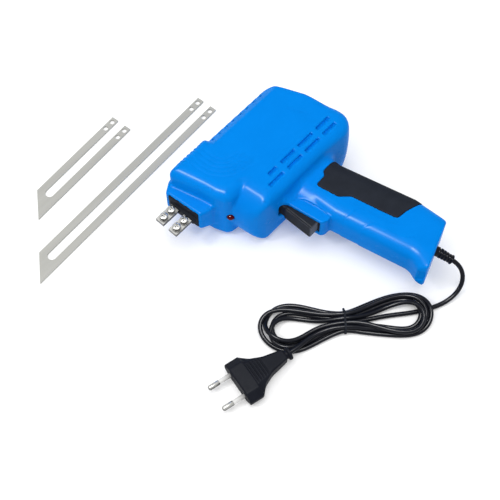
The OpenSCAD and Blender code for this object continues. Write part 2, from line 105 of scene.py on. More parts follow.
def arc(cu, cv, r, a0, a1, z0, z1, n=9):
    """Part of a circle in the hank's own axes, angles in degrees, with a height that goes from z0 to z1."""
    out = []
    for k in range(n):
        t = k / (n - 1)
        th = math.radians(a0 + (a1 - a0) * t)
        e = t * t * (3 - 2 * t)
        out.append((cu + r * math.cos(th), cv + r * math.sin(th), z0 + (z1 - z0) * e))
    return out


def at(slot):
    return [(0.0, *SLOT[slot])]


ZF, ZO, ZU = 1.9, 5.5, 9.0      # on the floor, on top of one run, on top of two
exit_v = np.array([-math.sin(math.radians(16)), math.cos(math.radians(16)), 0])
exit_p = np.array([-28.0, 165.0, ZM])
boot_v = np.array([-0.33, 0.86, -0.39]); boot_v /= np.linalg.norm(boot_v)
boot_end = exit_p + 13 * boot_v
plug_a = math.radians(-14.1)
plug_v = np.array([math.cos(plug_a), math.sin(plug_a), 0.0])
plug_n = np.array([-math.sin(plug_a), math.cos(plug_a), 0.0])
plug_p = np.array([144.75, 119.25, 6.85])
tail_a = plug_p - 46.2 * plug_v

lead = [boot_end - 4 * boot_v, boot_end, [-34.1, 181, 22.4], [-34.4, 185.2, 18.2], [-33.0, 188.6, 13.8], [-29.9, 190.9, 9.9],
        [-25.6, 191.9, 6.5], [-20.2, 191.6, 4.0], [-14.4, 190.4, 2.5], [-7.2, 188.1, 1.9]]
run = [(67.2, -5.5, ZF), (56, -3.3, ZF), (41, -3.0, ZF), (29.6, -2.4, ZF), (17, -0.8, ZF), (8, -0.1, 2.3)] + at("B3")
# inner loop on the left, flat on the floor
run += [(-8, 0.8, 2.2), (-16, 2.8, ZF), (-24, 6.2, ZF), (-31, 9.8, ZF), (-37, 12.2, ZF)] \
    + arc(-43.4, 1.0, 12.1, 95, 265, ZF, ZF) + [(-36, -10.4, ZF), (-27, -8.4, ZF), (-18, -5.8, ZF), (-8, -4.0, 2.2)] + at("B2")
# inner loop on the right, over the lead
run += [(8, -4.6, 2.3), (18, -8.0, 2.9), (28, -11.6, 4.1), (38, -13.9, 5.2)] + arc(47.2, -2.2, 12.0, -86, 86, ZO, ZO, 10) \
    + [(38, 9.2, 5.2), (30, 7.6, 4.2), (21, 5.7, 3.0), (10, 4.2, 2.4)] + at("B4")
# left loop whose upper run crosses the inner loop
run += [(-9, 5.0, 2.3), (-17, 7.6, 2.6), (-25, 11.4, 3.6), (-32, 14.8, 4.8), (-39, 17.2, ZO)] + arc(-45.6, 5.6, 12.1, 95, 244, ZO, ZO) \
    + [(-44.0, -6.4, ZO), (-38, -6.2, 5.4), (-30, -4.6, 5.2), (-18, -2.4, 5.4), (-8, -1.8, 5.8)] + at("T2")
run += [(8, -1.8, 5.9), (15, -3.0, 6.1), (22.4, -5.4, 6.7), (31, -8.6, 7.8), (39, -10.4, 8.6)] + arc(48.0, 1.5, 12.1, -86, 86, ZU, ZU, 10) \
    + [(39.4, 12.8, 8.6), (31, 10.8, 7.8), (23, 8.0, 6.7), (14, 5.0, 6.1), (6, 2.6, 5.9)] + at("T3")
# second left loop: lower run on top, upper run on the floor and furthest out
run += [(-8, 1.9, 5.9), (-18, 3.6, 5.9), (-26, 6.8, 6.4), (-33, 10.2, 7.4), (-39, 12.6, 8.4)] + arc(-45.2, -1.9, 15.2, 98, 165, 8.8, ZU, 6) \
    + arc(-45.2, -1.9, 15.2, 180, 262, 8.2, 2.8, 6) + [(-40, -17.4, 2.2), (-33, -16.2, ZF), (-26, -13.9, ZF), (-18, -10.9, ZF), (-9, -8.4, 2.2)] + at("B1")
run += [(8, -9.4, 2.2), (20, -13.2, ZF), (30, -16.2, ZF), (40, -18.0, 2.4)] + arc(50.6, -2.6, 15.7, -88, -30, 3.2, ZO, 5) + arc(50.6, -2.6, 15.7, -15, 30, ZO, ZO, 4) \
    + arc(50.6, -2.6, 15.7, 46, 90, 5.0, 2.6, 4) + [(41, 12.6, 2.0), (31, 11.2, ZF), (20, 9.4, ZF), (10, 7.9, ZF)] + at("B5")
# outermost left loop, under the plug's collar and over the second loop
run += [(-7.2, 8.8, 2.2), (-14.6, 11.0, ZF), (-21.9, 13.7, ZF), (-29, 16.3, ZF), (-36.5, 18.2, ZF), (-44, 18.6, ZF), (-51, 17.0, 2.1), (-57.0, 13.2, 2.7), (-61.4, 8.0, 3.8),
        (-63.8, 2.2, 5.4), (-63.6, -3.6, 7.0), (-61.0, -8.2, 8.2), (-56.6, -11.4, 8.6), (-51, -13.0, 8.2), (-45, -13.0, 7.4), (-38, -11.7, 6.4), (-29, -9.4, 5.8), (-14.6, -6.2, 5.8)] + at("T1")
run += [(10, -7.2, 5.8), (20, -10.4, 5.6), (30, -13.8, ZO), (39, -15.9, ZO)] + arc(48.0, -2.2, 14.3, -86, 86, ZO, ZO, 11) \
    + [(39.0, 11.5, ZO), (30, 9.8, ZO), (20, 7.8, 5.6), (10, 6.2, 5.8)] + at("T4")
run += [(-8, 5.2, 5.9), (-14.6, 6.0, 5.9), (-22, 8.4, 6.0), (-29, 11.4, 6.2)]
route = [np.asarray(p, float) for p in lead] + [np.array(hank(*p)) for p in run]
route += [tail_a - 9.9 * plug_v + np.array([0.2, 0.1, -0.35]), tail_a - 4.9 * plug_v + np.array([0, 0, -0.1]), tail_a, tail_a + 3 * plug_v]
STEP = 2.4
P0 = catmull(route, STEP)


def along(A, sigma):
    """Gaussian average along the line, sigma in points."""
    m = int(3 * sigma + 1)
    k = np.exp(-0.5 * (np.arange(-m, m + 1) / sigma) ** 2)
    k /= k.sum()
    pad = np.vstack([np.repeat(A[:1], m, 0), A, np.repeat(A[-1:], m, 0)])
    return np.stack([np.convolve(pad[:, c], k, "valid") for c in range(A.shape[1])], 1)


def relax(P, steps):
    """Lets the runs of the lead settle: stiff line, no run inside another, nothing below the floor."""
    P = P.copy()
    n = len(P)
    rel = P[:, :2] - HC
    u, v = rel @ HU, rel @ HV
    num = np.arange(n)
    pin = (num < 4) | (num >= n - 4)
    first = int(np.where((np.abs(u) < 40) & (num > 20))[0][0])
    in_tie = (np.abs(u) < 1.4) & (num > first)
    keep = P.copy()
    for i in np.where(in_tie)[0]:
        best = min(SLOT.values(), key=lambda s: (s[0] - v[i]) ** 2 + (s[1] - P[i, 2]) ** 2)
        q = HC + u[i] * HU + best[0] * HV
        keep[i] = [q[0], q[1], best[1]]
    pin |= in_tie
    w = np.where(pin, 0.0, 1.0)
    fall = w * np.clip((num - 22) / 8, 0, 1)          # the free stretch hangs as drawn
    plan = P[:, :2].copy()
    ii, jj = np.triu_indices(n, 7)
    lim = np.where(num < 45, 15.2, 12.8)
    lim[-12:] = 13.0
    for k in range(steps):
        late = k > steps * 0.6
        P[:, 2] -= (0.012 if not late else 0.0) * fall
        P[:, :2] += (0.012 if not late else 0.004) * (plan - P[:, :2]) * w[:, None]
        D = P[ii] - P[jj]
        q = (D * D).sum(1)
        hit = q < (CORD_D + 0.03) ** 2
        a, b, d = ii[hit], jj[hit], D[hit]
        r = np.sqrt(q[hit]) + 1e-9
        d = d / r[:, None] * ((CORD_D + 0.03 - r) * 0.5)[:, None]
        push = np.zeros_like(P)
        cnt = np.zeros(n)
        np.add.at(push, a, d); np.add.at(cnt, a, 1)
        np.add.at(push, b, -d); np.add.at(cnt, b, 1)
        push /= np.maximum(cnt, 1)[:, None]
        P += along(push, 1.6) * (1.6 if not late else 2.8) * w[:, None]
        for _ in range(3):
            B = np.zeros_like(P)
            B[2:-2] = P[:-4] - 4 * P[1:-3] + 6 * P[2:-2] - 4 * P[3:-1] + P[4:]
            P -= 0.055 * B * w[:, None]
        # eases the places that bend too tightly
        K = np.zeros(n)
        K[2:-2] = np.linalg.norm(P[:-4] - 2 * P[2:-2] + P[4:], axis=1) / (4 * STEP ** 2)
        m = np.clip((K * lim - 1.0) * 8, 0, 1)[:, None]
        m = np.clip(along(m, 1.2) * 1.6, 0, 1)
        for _ in range(2):
            L2 = np.zeros_like(P)
            L2[2:-2] = -(P[:-4] - 4 * P[1:-3] + 6 * P[2:-2] - 4 * P[3:-1] + P[4:]) * 0.05
            L3 = np.zeros_like(P)
            L3[3:-3] = 0.5 * (P[:-6] + P[6:]) - P[3:-3]
            P += (L2 + 0.006 * L3) * m * w[:, None]
        # even spacing
        for _ in range(2):
            for off in (0, 1):
                s = np.arange(off, n - 1, 2)
                e = P[s + 1] - P[s]
                le = np.linalg.norm(e, axis=1)
                ws = np.maximum(w[s] + w[s + 1], 1e-6)
                c = e * ((le - STEP) / le / ws)[:, None] * 0.5
                P[s] += c * w[s][:, None]
                P[s + 1] -= c * w[s + 1][:, None]
        P[:, 2] = np.where(w > 0, np.maximum(P[:, 2], CORD_D / 2 + 0.05), P[:, 2])
        P[pin] = keep[pin]
    return P


cord_line = catmull(relax(P0, 640), 1.2)
cu = bpy.data.curves.new("mains_lead", "CURVE")
cu.dimensions = "3D"
cu.bevel_depth = CORD_D / 2 * MM
cu.bevel_resolution = 4
cu.use_fill_caps = True
sp = cu.splines.new("POLY")
sp.points.add(len(cord_line) - 1)
sp.points.foreach_set("co", np.c_[cord_line * MM, np.ones(len(cord_line))].ravel())
sp.use_smooth = True
mains_lead = bpy.data.objects.new("mains_lead", cu)
scene.collection.objects.link(mains_lead)


# ------------------------------------------------------------------ shape kit: distance fields and surface nets, in mm
def clamp01(t):
    return np.clip(t, 0, 1)


def sstep(a, b, x):
    t = clamp01((x - a) / (b - a))
    return t * t * (3 - 2 * t)


def smin(a, b, k):
    h = clamp01(0.5 + 0.5 * (b - a) / k)
    return b + (a - b) * h - k * h * (1 - h)


def smax(a, b, k):
    return -smin(-a, -b, k)


def rint(a, b, r):
    """Two half spaces joined with a round edge."""
    A, B = a + r, b + r
    return np.minimum(np.maximum(A, B), 0) + np.hypot(np.maximum(A, 0), np.maximum(B, 0)) - r


def rounded(P, n=7):
    """Outline of [x, y, corner radius] as a polyline."""
    P = np.asarray(P, float)
    out = []
    for i in range(len(P)):
        b, r = P[i, :2], P[i, 2]
        u = b - P[i - 1, :2]; u = u / np.linalg.norm(u)
        v = P[(i + 1) % len(P), :2] - b; v = v / np.linalg.norm(v)
        cr = u[0] * v[1] - u[1] * v[0]
        t = math.acos(max(-1.0, min(1.0, float(u @ v))))
        if r < 0.05 or t < 0.009:
            out.append(b)
            continue
        s = 1 if cr >= 0 else -1
        nrm = np.array([-u[1], u[0]])
        m = b - u * r * math.tan(t / 2) + s * nrm * r
        for k in range(n + 1):
            a = s * t * k / n
            d = -s * nrm * r
            out.append(m + np.array([d[0] * math.cos(a) - d[1] * math.sin(a), d[0] * math.sin(a) + d[1] * math.cos(a)]))
    return np.array(out)


def poly_sdf(P, X, Y):
    d = np.full(X.shape, 1e18)
    inside = np.zeros(X.shape, bool)
    for (ax, ay), (bx, by) in zip(P, np.roll(P, -1, 0)):
        ex, ey = bx - ax, by - ay
        wx, wy = X - ax, Y - ay
        t = clamp01((wx * ex + wy * ey) / (ex * ex + ey * ey + 1e-12))
        d = np.minimum(d, (wx - ex * t) ** 2 + (wy - ey * t) ** 2)
        if ey:
            inside ^= ((ay > Y) != (by > Y)) & (X < ax + (Y - ay) * ex / ey)
    d = np.sqrt(d)
    return np.where(inside, -d, d)


def line_sdf(P, X, Y):
    """Distance to an open polyline, and its signed form: positive on the left of its direction."""
    best = np.full(X.shape, 1e18)
    sign = np.ones(X.shape)
    P = np.asarray(P, float)
    for (ax, ay), (bx, by) in zip(P[:-1], P[1:]):
        ex, ey = bx - ax, by - ay
        wx, wy = X - ax, Y - ay
        t = clamp01((wx * ex + wy * ey) / (ex * ex + ey * ey))
        d = (wx - ex * t) ** 2 + (wy - ey * t) ** 2
        m = d < best - 1e-9
        best = np.where(m, d, best)
        sign = np.where(m, np.where(ex * wy - ey * wx >= 0, 1.0, -1.0), sign)
    return np.sqrt(best) * sign


def box_sdf(X, Y, x0, x1, y0, y1):
    a = np.maximum(x0 - X, X - x1)
    b = np.maximum(y0 - Y, Y - y1)
    return np.maximum(a, b)


def nets(F, lo, h, cut=None):
    """Closed mesh of the zero set of a field sampled on a grid, and which of its points lie on the sharp rim of the cut plane."""
    lo = np.asarray(lo, float)
    h = np.asarray([h] * 3 if np.isscalar(h) else h, float)
    nx, ny, nz = F.shape
    S = F < 0
    C = np.zeros((nx - 1, ny - 1, nz - 1), np.uint8)
    for a, b, c in product((0, 1), repeat=3):
        C += S[a:nx - 1 + a, b:ny - 1 + b, c:nz - 1 + c]
    act = (C > 0) & (C < 8)
    ci = np.argwhere(act)
    idx = np.full(C.shape, -1, np.int64)
    idx[act] = np.arange(len(ci))
    V = np.zeros((len(ci), 3))
    N = np.zeros(len(ci))
    corners = list(product((0, 1), repeat=3))
    for a in corners:
        for ax in range(3):
            if a[ax]:
                continue
            b = list(a); b[ax] = 1
            fa = F[ci[:, 0] + a[0], ci[:, 1] + a[1], ci[:, 2] + a[2]].astype(float)
            fb = F[ci[:, 0] + b[0], ci[:, 1] + b[1], ci[:, 2] + b[2]].astype(float)
            m = (fa < 0) != (fb < 0)
            t = np.where(m, fa / np.where(m, fa - fb, 1), 0)
            p = np.tile(np.array(a, float), (len(ci), 1))
            p[:, ax] += t
            V[m] += p[m]
            N[m] += 1
    V = V / N[:, None] + ci
    G = np.gradient(F)

    def sample(A, p):
        i = np.clip(np.floor(p).astype(int), 0, np.array(A.shape) - 2)
        f = p - i
        r = 0
        for a, b, c in corners:
            wgt = (f[:, 0] if a else 1 - f[:, 0]) * (f[:, 1] if b else 1 - f[:, 1]) * (f[:, 2] if c else 1 - f[:, 2])
            r = r + wgt * A[i[:, 0] + a, i[:, 1] + b, i[:, 2] + c]
        return r
    quads = []
    for ax in range(3):
        o1, o2 = (ax + 1) % 3, (ax + 2) % 3
        lo_s = [slice(None)] * 3; hi_s = [slice(None)] * 3
        lo_s[ax] = slice(0, -1); hi_s[ax] = slice(1, None)
        for t in (o1, o2):
            lo_s[t] = slice(1, -1); hi_s[t] = slice(1, -1)
        A, B = S[tuple(lo_s)], S[tuple(hi_s)]
        e = np.argwhere(A != B)
        if not len(e):
            continue
        ins = A[e[:, 0], e[:, 1], e[:, 2]]
        e = e.copy(); e[:, o1] += 1; e[:, o2] += 1
        q = []
        for d1, d2 in ((-1, -1), (0, -1), (0, 0), (-1, 0)):
            c = e.copy(); c[:, o1] += d1; c[:, o2] += d2
            q.append(idx[c[:, 0], c[:, 1], c[:, 2]])
        q = np.stack(q, 1)
        q[~ins] = q[~ins][:, ::-1]
        quads.append(q)
    quads = np.vstack(quads)
    # even out the points along the surface, then bring them onto it
    a = np.r_[quads[:, 0], quads[:, 1], quads[:, 2], quads[:, 3]]
    b = np.r_[quads[:, 1], quads[:, 2], quads[:, 3], quads[:, 0]]
    i2, j2 = np.r_[a, b], np.r_[b, a]
    cnt = np.maximum(np.bincount(i2, minlength=len(V)), 1)
    V1 = V.copy()
    for k in range(4):
        g = np.stack([sample(x, V1) for x in G], 1)
        gg = np.maximum((g * g).sum(1), 1e-6)
        if k < 2:
            mean = np.stack([np.bincount(i2, V1[j2, c], minlength=len(V)) for c in range(3)], 1) / cnt[:, None]
            st = 0.45 * (mean - V1)
            st -= g * ((st * g).sum(1) / gg)[:, None]
        else:
            st = -sample(F, V1)[:, None] * g / gg[:, None]
        ln = np.linalg.norm(st, axis=1)
        st *= np.minimum(1, 0.35 / np.maximum(ln, 1e-9))[:, None]
        V1 = np.clip(V1 + st, V - 0.5, V + 0.5)
    rim = np.zeros(len(V), bool)
    if cut is not None:
        # flat rim at the cut plane, with its edge exactly on the uncut surface
        F0, wc = cut
        kc = (wc - lo[2]) / h[2]
        lay = int(math.floor(kc))
        t = kc - lay
        P2 = (1 - t) * F0[:, :, lay] + t * F0[:, :, lay + 1]
        flat = ci[:, 2] == lay
        V1[flat, 2] = kc
        c4 = np.stack([P2[ci[:, 0] + a, ci[:, 1] + b] for a in (0, 1) for b in (0, 1)])
        rim = flat & (c4.min(0) < 0) & (c4.max(0) >= 0)
        q = V1[rim][:, :2]
        base = ci[rim][:, :2] + 0.5
        G2 = np.gradient(P2)

        def flat_sample(A, p):
            i = np.clip(np.floor(p).astype(int), 0, np.array(A.shape) - 2)
            f = p - i
            return ((1 - f[:, 0]) * (1 - f[:, 1]) * A[i[:, 0], i[:, 1]] + f[:, 0] * (1 - f[:, 1]) * A[i[:, 0] + 1, i[:, 1]]
                    + (1 - f[:, 0]) * f[:, 1] * A[i[:, 0], i[:, 1] + 1] + f[:, 0] * f[:, 1] * A[i[:, 0] + 1, i[:, 1] + 1])
        for _ in range(4):
            g = np.stack([flat_sample(x, q) for x in G2], 1)
            st = -flat_sample(P2, q)[:, None] * g / np.maximum((g * g).sum(1), 1e-6)[:, None]
            q = np.clip(q + np.clip(st, -0.4, 0.4), base - 0.6, base + 0.6)
        V1[rim, :2] = q
    return V1 * h + lo, quads, rim


def piece(name, V, faces, body, mat, nodes=(), smooth=True, rim=None):
    """One mesh object from points in mm."""
    me = bpy.data.meshes.new(name)
    me.from_pydata((np.asarray(V) * MM).tolist(), [], faces.tolist() if hasattr(faces, "tolist") else faces)
    me.polygons.foreach_set("use_smooth", np.full(len(me.polygons), smooth))
    if rim is not None and rim.any():
        ev = np.empty(2 * len(me.edges), np.int32)
        me.edges.foreach_get("vertices", ev)
        ev = ev.reshape(-1, 2)
        at_ = me.attributes.new("sharp_edge", "BOOLEAN", "EDGE")
        at_.data.foreach_set("value", rim[ev[:, 0]] & rim[ev[:, 1]])
    me.update()
    ob = bpy.data.objects.new(name, me)
    scene.collection.objects.link(ob)
    me.materials.append(mat)
    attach(ob, body)
    if nodes:
        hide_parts(*nodes)
    return ob


def lathe(profile, origin, axis, n=48, ref=(0, 0, 1)):
    """Closed turned piece: profile of (radius, distance along the axis), first and last on the axis."""
    axis = np.asarray(axis, float) / np.linalg.norm(axis)
    a = np.cross(axis, ref); a /= np.linalg.norm(a)
    b = np.cross(axis, a)
    V, F, rings = [], [], []
    for r, s in profile:
        c = np.asarray(origin, float) + s * axis
        if r < 1e-6:
            rings.append([len(V)]); V.append(c)
        else:
            rings.append(list(range(len(V), len(V) + n)))
            for k in range(n):
                t = 2 * math.pi * k / n
                V.append(c + r * (math.cos(t) * a + math.sin(t) * b))
    for p, q in zip(rings[:-1], rings[1:]):
        for k in range(n):
            k2 = (k + 1) % n
            if len(p) == 1 and len(q) == 1:
                continue
            if len(p) == 1:
                F.append([p[0], q[k], q[k2]])
            elif len(q) == 1:
                F.append([p[k], q[0], p[k2]])
            else:
                F.append([p[k], q[k], q[k2], p[k2]])
    V = np.array(V)
    # outward facing
    m = V.mean(0)
    f = F[len(F) // 2]
    nn = np.cross(V[f[1]] - V[f[0]], V[f[2]] - V[f[0]])
    c = V[f].mean(0) - np.asarray(origin) - ((V[f].mean(0) - np.asarray(origin)) @ axis) * axis
    if nn @ c < 0:
        F = [x[::-1] for x in F]
    return V, F


# ------------------------------------------------------------------ finishes
def finish(name, dark, light, rough=(0.35, 0.45), metal=0.0, spec=0.5, scale=60.0, grain=900.0, bump=0.02, coat=0.0,
           stretch=(1, 1, 1), detail=4.0, aniso=0.0, emis=None, trans=0.0, bump_dist=0.0002, painted_upright_shade=None):
    m = bpy.data.materials.new(name)
    m.use_nodes = True
    nt = m.node_tree
    bs = nt.nodes["Principled BSDF"]
    tc = nt.nodes.new("ShaderNodeTexCoord")
    mp = nt.nodes.new("ShaderNodeMapping")
    mp.inputs["Scale"].default_value = stretch
    nt.links.new(tc.outputs["Object"], mp.inputs["Vector"])
    n1 = nt.nodes.new("ShaderNodeTexNoise")
    n1.inputs["Scale"].default_value = scale
    n1.inputs["Detail"].default_value = detail
    nt.links.new(mp.outputs["Vector"], n1.inputs["Vector"])
    cr = nt.nodes.new("ShaderNodeValToRGB")
    cr.color_ramp.elements[0].position = 0.3
    cr.color_ramp.elements[1].position = 0.7
    cr.color_ramp.elements[0].color = (*dark, 1)
    cr.color_ramp.elements[1].color = (*light, 1)
    nt.links.new(n1.outputs["Fac"], cr.inputs["Fac"])
    nt.links.new(cr.outputs["Color"], bs.inputs["Base Color"])
    if painted_upright_shade is not None:
        # painted shade: base colour darkened on upright faces (normal pointing sideways), standing in for dark
        # reflections along the sides of the plated metal
        geo = nt.nodes.new("ShaderNodeNewGeometry")
        sep = nt.nodes.new("ShaderNodeSeparateXYZ")
        nt.links.new(geo.outputs["Normal"], sep.inputs["Vector"])
        ms = nt.nodes.new("ShaderNodeMapRange")
        ms.inputs["From Min"].default_value = 0.25
        ms.inputs["From Max"].default_value = 0.88
        ms.inputs["To Min"].default_value = painted_upright_shade
        ms.inputs["To Max"].default_value = 1.0
        nt.links.new(sep.outputs["Z"], ms.inputs["Value"])
        vm = nt.nodes.new("ShaderNodeVectorMath")
        vm.operation = "SCALE"
        nt.links.new(cr.outputs["Color"], vm.inputs[0])
        nt.links.new(ms.outputs["Result"], vm.inputs["Scale"])
        nt.links.new(vm.outputs["Vector"], bs.inputs["Base Color"])
    n2 = nt.nodes.new("ShaderNodeTexNoise")
    n2.inputs["Scale"].default_value = scale * 4
    n2.inputs["Detail"].default_value = 3
    nt.links.new(mp.outputs["Vector"], n2.inputs["Vector"])
    mr = nt.nodes.new("ShaderNodeMapRange")
    mr.inputs["From Min"].default_value = 0.3
    mr.inputs["From Max"].default_value = 0.7
    mr.inputs["To Min"].default_value = rough[0]
    mr.inputs["To Max"].default_value = rough[1]
    nt.links.new(n2.outputs["Fac"], mr.inputs["Value"])
    nt.links.new(mr.outputs["Result"], bs.inputs["Roughness"])
    n3 = nt.nodes.new("ShaderNodeTexNoise")
    n3.inputs["Scale"].default_value = grain
    n3.inputs["Detail"].default_value = 2
    nt.links.new(mp.outputs["Vector"], n3.inputs["Vector"])
    bp = nt.nodes.new("ShaderNodeBump")
    bp.inputs["Strength"].default_value = bump
    bp.inputs["Distance"].default_value = bump_dist
    nt.links.new(n3.outputs["Fac"], bp.inputs["Height"])
    nt.links.new(bp.outputs["Normal"], bs.inputs["Normal"])
    bs.inputs["Metallic"].default_value = metal
    bs.inputs["Specular IOR Level"].default_value = spec
    bs.inputs["Coat Weight"].default_value = coat
    bs.inputs["Coat Roughness"].default_value = 0.12
    bs.inputs["Transmission Weight"].default_value = trans
    if aniso:
        bs.inputs["Anisotropic"].default_value = aniso
    if emis:
        bs.inputs["Emission Color"].default_value = (*emis[0], 1)
        bs.inputs["Emission Strength"].default_value = emis[1]
    return m


MAT = {
    "blue_shell": finish("blue_shell", (0.0004, 0.190, 0.655), (0.0007, 0.203, 0.69), rough=(0.25, 0.28), spec=0.012, scale=38, grain=1500, bump=0.03),
    "soft_grip": finish("soft_grip", (0.0105, 0.0135, 0.0205), (0.0135, 0.017, 0.0255), rough=(0.65, 0.78), spec=0.03, scale=120, grain=2600, bump=0.3),
    "black_plastic": finish("black_plastic", (0.0145, 0.0163, 0.0218), (0.0195, 0.0222, 0.029), rough=(0.36, 0.46), spec=0.014, scale=90, grain=1800, bump=0.1),
    "ivory_plastic": finish("ivory_plastic", (0.62, 0.56, 0.42), (0.70, 0.64, 0.50), rough=(0.4, 0.5), scale=80, bump=0.05),
    # nickel carries painted shade on its upright faces, so screw heads and pins get dark rims
    "nickel": finish("nickel", (0.60, 0.60, 0.575), (0.70, 0.70, 0.675), rough=(0.24, 0.30), metal=1.0, scale=90, grain=900, bump=0.01, painted_upright_shade=0.10),
    "blade_steel": finish("blade_steel", (0.385, 0.385, 0.36), (0.425, 0.425, 0.40), rough=(0.5, 0.62), metal=0.15, spec=0.2, scale=55, grain=700, bump=0.04, stretch=(0.15, 3.0, 1.0)),
    "core_steel": finish("core_steel", (0.03, 0.035, 0.035), (0.06, 0.065, 0.065), rough=(0.4, 0.55), metal=0.4, scale=40, grain=900, bump=0.3, stretch=(1, 1, 12)),
    "zinc": finish("zinc", (0.45, 0.45, 0.43), (0.60, 0.60, 0.57), rough=(0.25, 0.4), metal=1.0, scale=150, bump=0.05),
    "dark_screw": finish("dark_screw", (0.02, 0.02, 0.022), (0.045, 0.045, 0.048), rough=(0.35, 0.5), metal=0.9, scale=150, bump=0.08),
    "copper": finish("copper", (0.58, 0.25, 0.11), (0.72, 0.36, 0.18), rough=(0.25, 0.4), metal=1.0, scale=90, bump=0.05),
    "magnet_wire": finish("magnet_wire", (0.20, 0.05, 0.015), (0.32, 0.09, 0.03), rough=(0.25, 0.4), scale=40, grain=600, bump=0.4, stretch=(8, 1, 1)),
    "fuse_white": finish("fuse_white", (0.66, 0.65, 0.60), (0.76, 0.75, 0.70), rough=(0.2, 0.3), scale=120),
    "lamp_red": finish("lamp_red", (0.050, 0.0008, 0.0025), (0.085, 0.0012, 0.004), rough=(0.12, 0.17), spec=0.07, scale=300, bump=0.02),
    "board_green": finish("board_green", (0.015, 0.10, 0.045), (0.03, 0.15, 0.06), rough=(0.4, 0.5), scale=200),
    "wire_brown": finish("wire_brown", (0.10, 0.035, 0.012), (0.15, 0.05, 0.02), rough=(0.4, 0.5), scale=120),
    "wire_blue": finish("wire_blue", (0.02, 0.08, 0.28), (0.03, 0.11, 0.36), rough=(0.4, 0.5), scale=120),
    "wire_black": finish("wire_black", (0.01, 0.01, 0.01), (0.02, 0.02, 0.02), rough=(0.4, 0.5), scale=120),
    "wire_red": finish("wire_red", (0.32, 0.01, 0.01), (0.42, 0.02, 0.015), rough=(0.4, 0.5), scale=120),
    "cord_black": finish("cord_black", (0.006, 0.0068, 0.0105), (0.0085, 0.0095, 0.014), rough=(0.20, 0.25), spec=0.12, scale=110, grain=1500, bump=0.05),
    "plug_black": finish("plug_black", (0.0085, 0.0098, 0.0145), (0.0115, 0.013, 0.0185), rough=(0.40, 0.50), spec=0.03, scale=90, grain=1800, bump=0.12),
    "sleeve_grey": finish("sleeve_grey", (0.62, 0.62, 0.61), (0.72, 0.72, 0.71), rough=(0.35, 0.45), scale=180, bump=0.05),
}
mains_lead.data.materials.append(MAT["cord_black"])
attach(mains_lead, "housing")
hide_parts("cord_lead", "cord_hank", "cord_tail")

# ------------------------------------------------------------------ housing field, as a function of x, y and w = distance from the parting plane
BODY = [[-42.6, -19.8, 11], [34, -19.8, 0], [46, 24, 0], [54.8, 27, 2], [51.6, 54, 17], [-62.8, 55, 14], [-61, 36, 0], [-54.4, 9, 0]]
BODY_OPEN = [[-26, -60, 0], [34, -60, 0], [46, 24, 0], [54.8, 27, 2], [51.6, 54, 17], [-62.8, 55, 14], [-61, 36, 0], [-54.4, 9, 0], [-42.6, -19.8, 0]]
NOSE = [[-6, -6, 0], [20, -9, 0], [24, -12, 0], [28, -22, 4], [54, -22.3, 10], [69.6, -21.2, 4], [62.5, 8, 10], [60.9, 18, 6], [56.3, 30, 8], [44, 31.5, 0], [-6, 31.5, 0]]
SNOUT = [[52, -21.8, 0], [68.6, -21.8, 3], [76.3, -17.3, 2], [73.3, 16, 2.5], [64, 19.5, 4], [52, 19.5, 0]]
HANDLE = [[-33, 40, 0], [11, 40, 0], [8.9, 90, 0], [-5.2, 156, 10], [-1.4, 165.4, 3], [-5, 171.6, 3], [-46.6, 157.2, 4], [-48.6, 148, 0], [-47.6, 128, 0], [-32.8, 66, 8]]
HANDLE_OPEN = [[-33, 40, 0], [11, 40, 0], [8.9, 90, 0], [-5.2, 156, 14], [6.1, 184, 0], [-52, 184, 0], [-48.6, 148, 0], [-47.6, 128, 0], [-32.8, 66, 8]]
BOSS = [[-6, 50, 0], [22, 50, 1], [16.2, 88.6, 4.5], [12, 90, 4], [-6, 90, 0]]
LIP = [[34, 57.6, 0], [19, 57.9, 1], [15.1, 59, 2], [12.6, 61.6, 2], [10.4, 65.4, 3], [9.2, 71.1, 0], [8.1, 76.9, 0], [7.8, 82.8, 0], [8.3, 87, 2], [10.5, 89.4, 2], [34, 95, 0]]
GRIP = [[-2.8, 65.1, 2.4], [-13, 65, 2.5], [-16.1, 61.3, 3], [-36, 60.6, 0], [-60, 136.5, 0], [-39.5, 133, 2], [-30.5, 130.3, 4], [-21.4, 129.2, 4],
        [-18, 114.7, 0], [-13, 91.6, 5], [-6.2, 84.5, 6], [-4, 72.2, 0]]
SCREWS = [[-42, -6, 26], [40, -15.6, 25], [-52, 42, 26], [40, 44, 20.5], [-24, 100, 12], [-10, 157, 8.5]]   # x, y and seat of the head
RIB0 = [[54.4, -40], [54.8, -19], [55.2, -5], [53.6, 5], [49.8, 12.6], [44.2, 18.4], [36.9, 22.2], [20.9, 26.2], [-12, 31]]
CREASE = [[60, 29.6], [50, 30], [40, 30.25], [29, 31.25], [-29, 35]]
RIDGE = [[-33.5, 8], [-36.2, 15], [-40, 24]]
STEP1 = [[24, 93.8], [4, 98.9], [0.9, 99.9], [-4, 100.6], [-8.2, 101.8], [-10.4, 104.6], [-12.9, 115.5], [-15.0, 126], [-17.6, 132], [-24, 135.5], [-60, 141]]
STEP2 = [[24, 106.5], [1.9, 113.9], [-3.0, 116.4], [-6.2, 118.5], [-9.4, 129.3], [-11.2, 139], [-13.2, 144.5], [-18, 148], [-60, 157]]


SEAM = 0.04                     # half the gap between the shells
LAMP = np.array([54.6, 30.0])   # pilot lamp on the front, and the way it faces
LAMP_V = np.array([math.cos(math.radians(38)), math.sin(math.radians(38))])


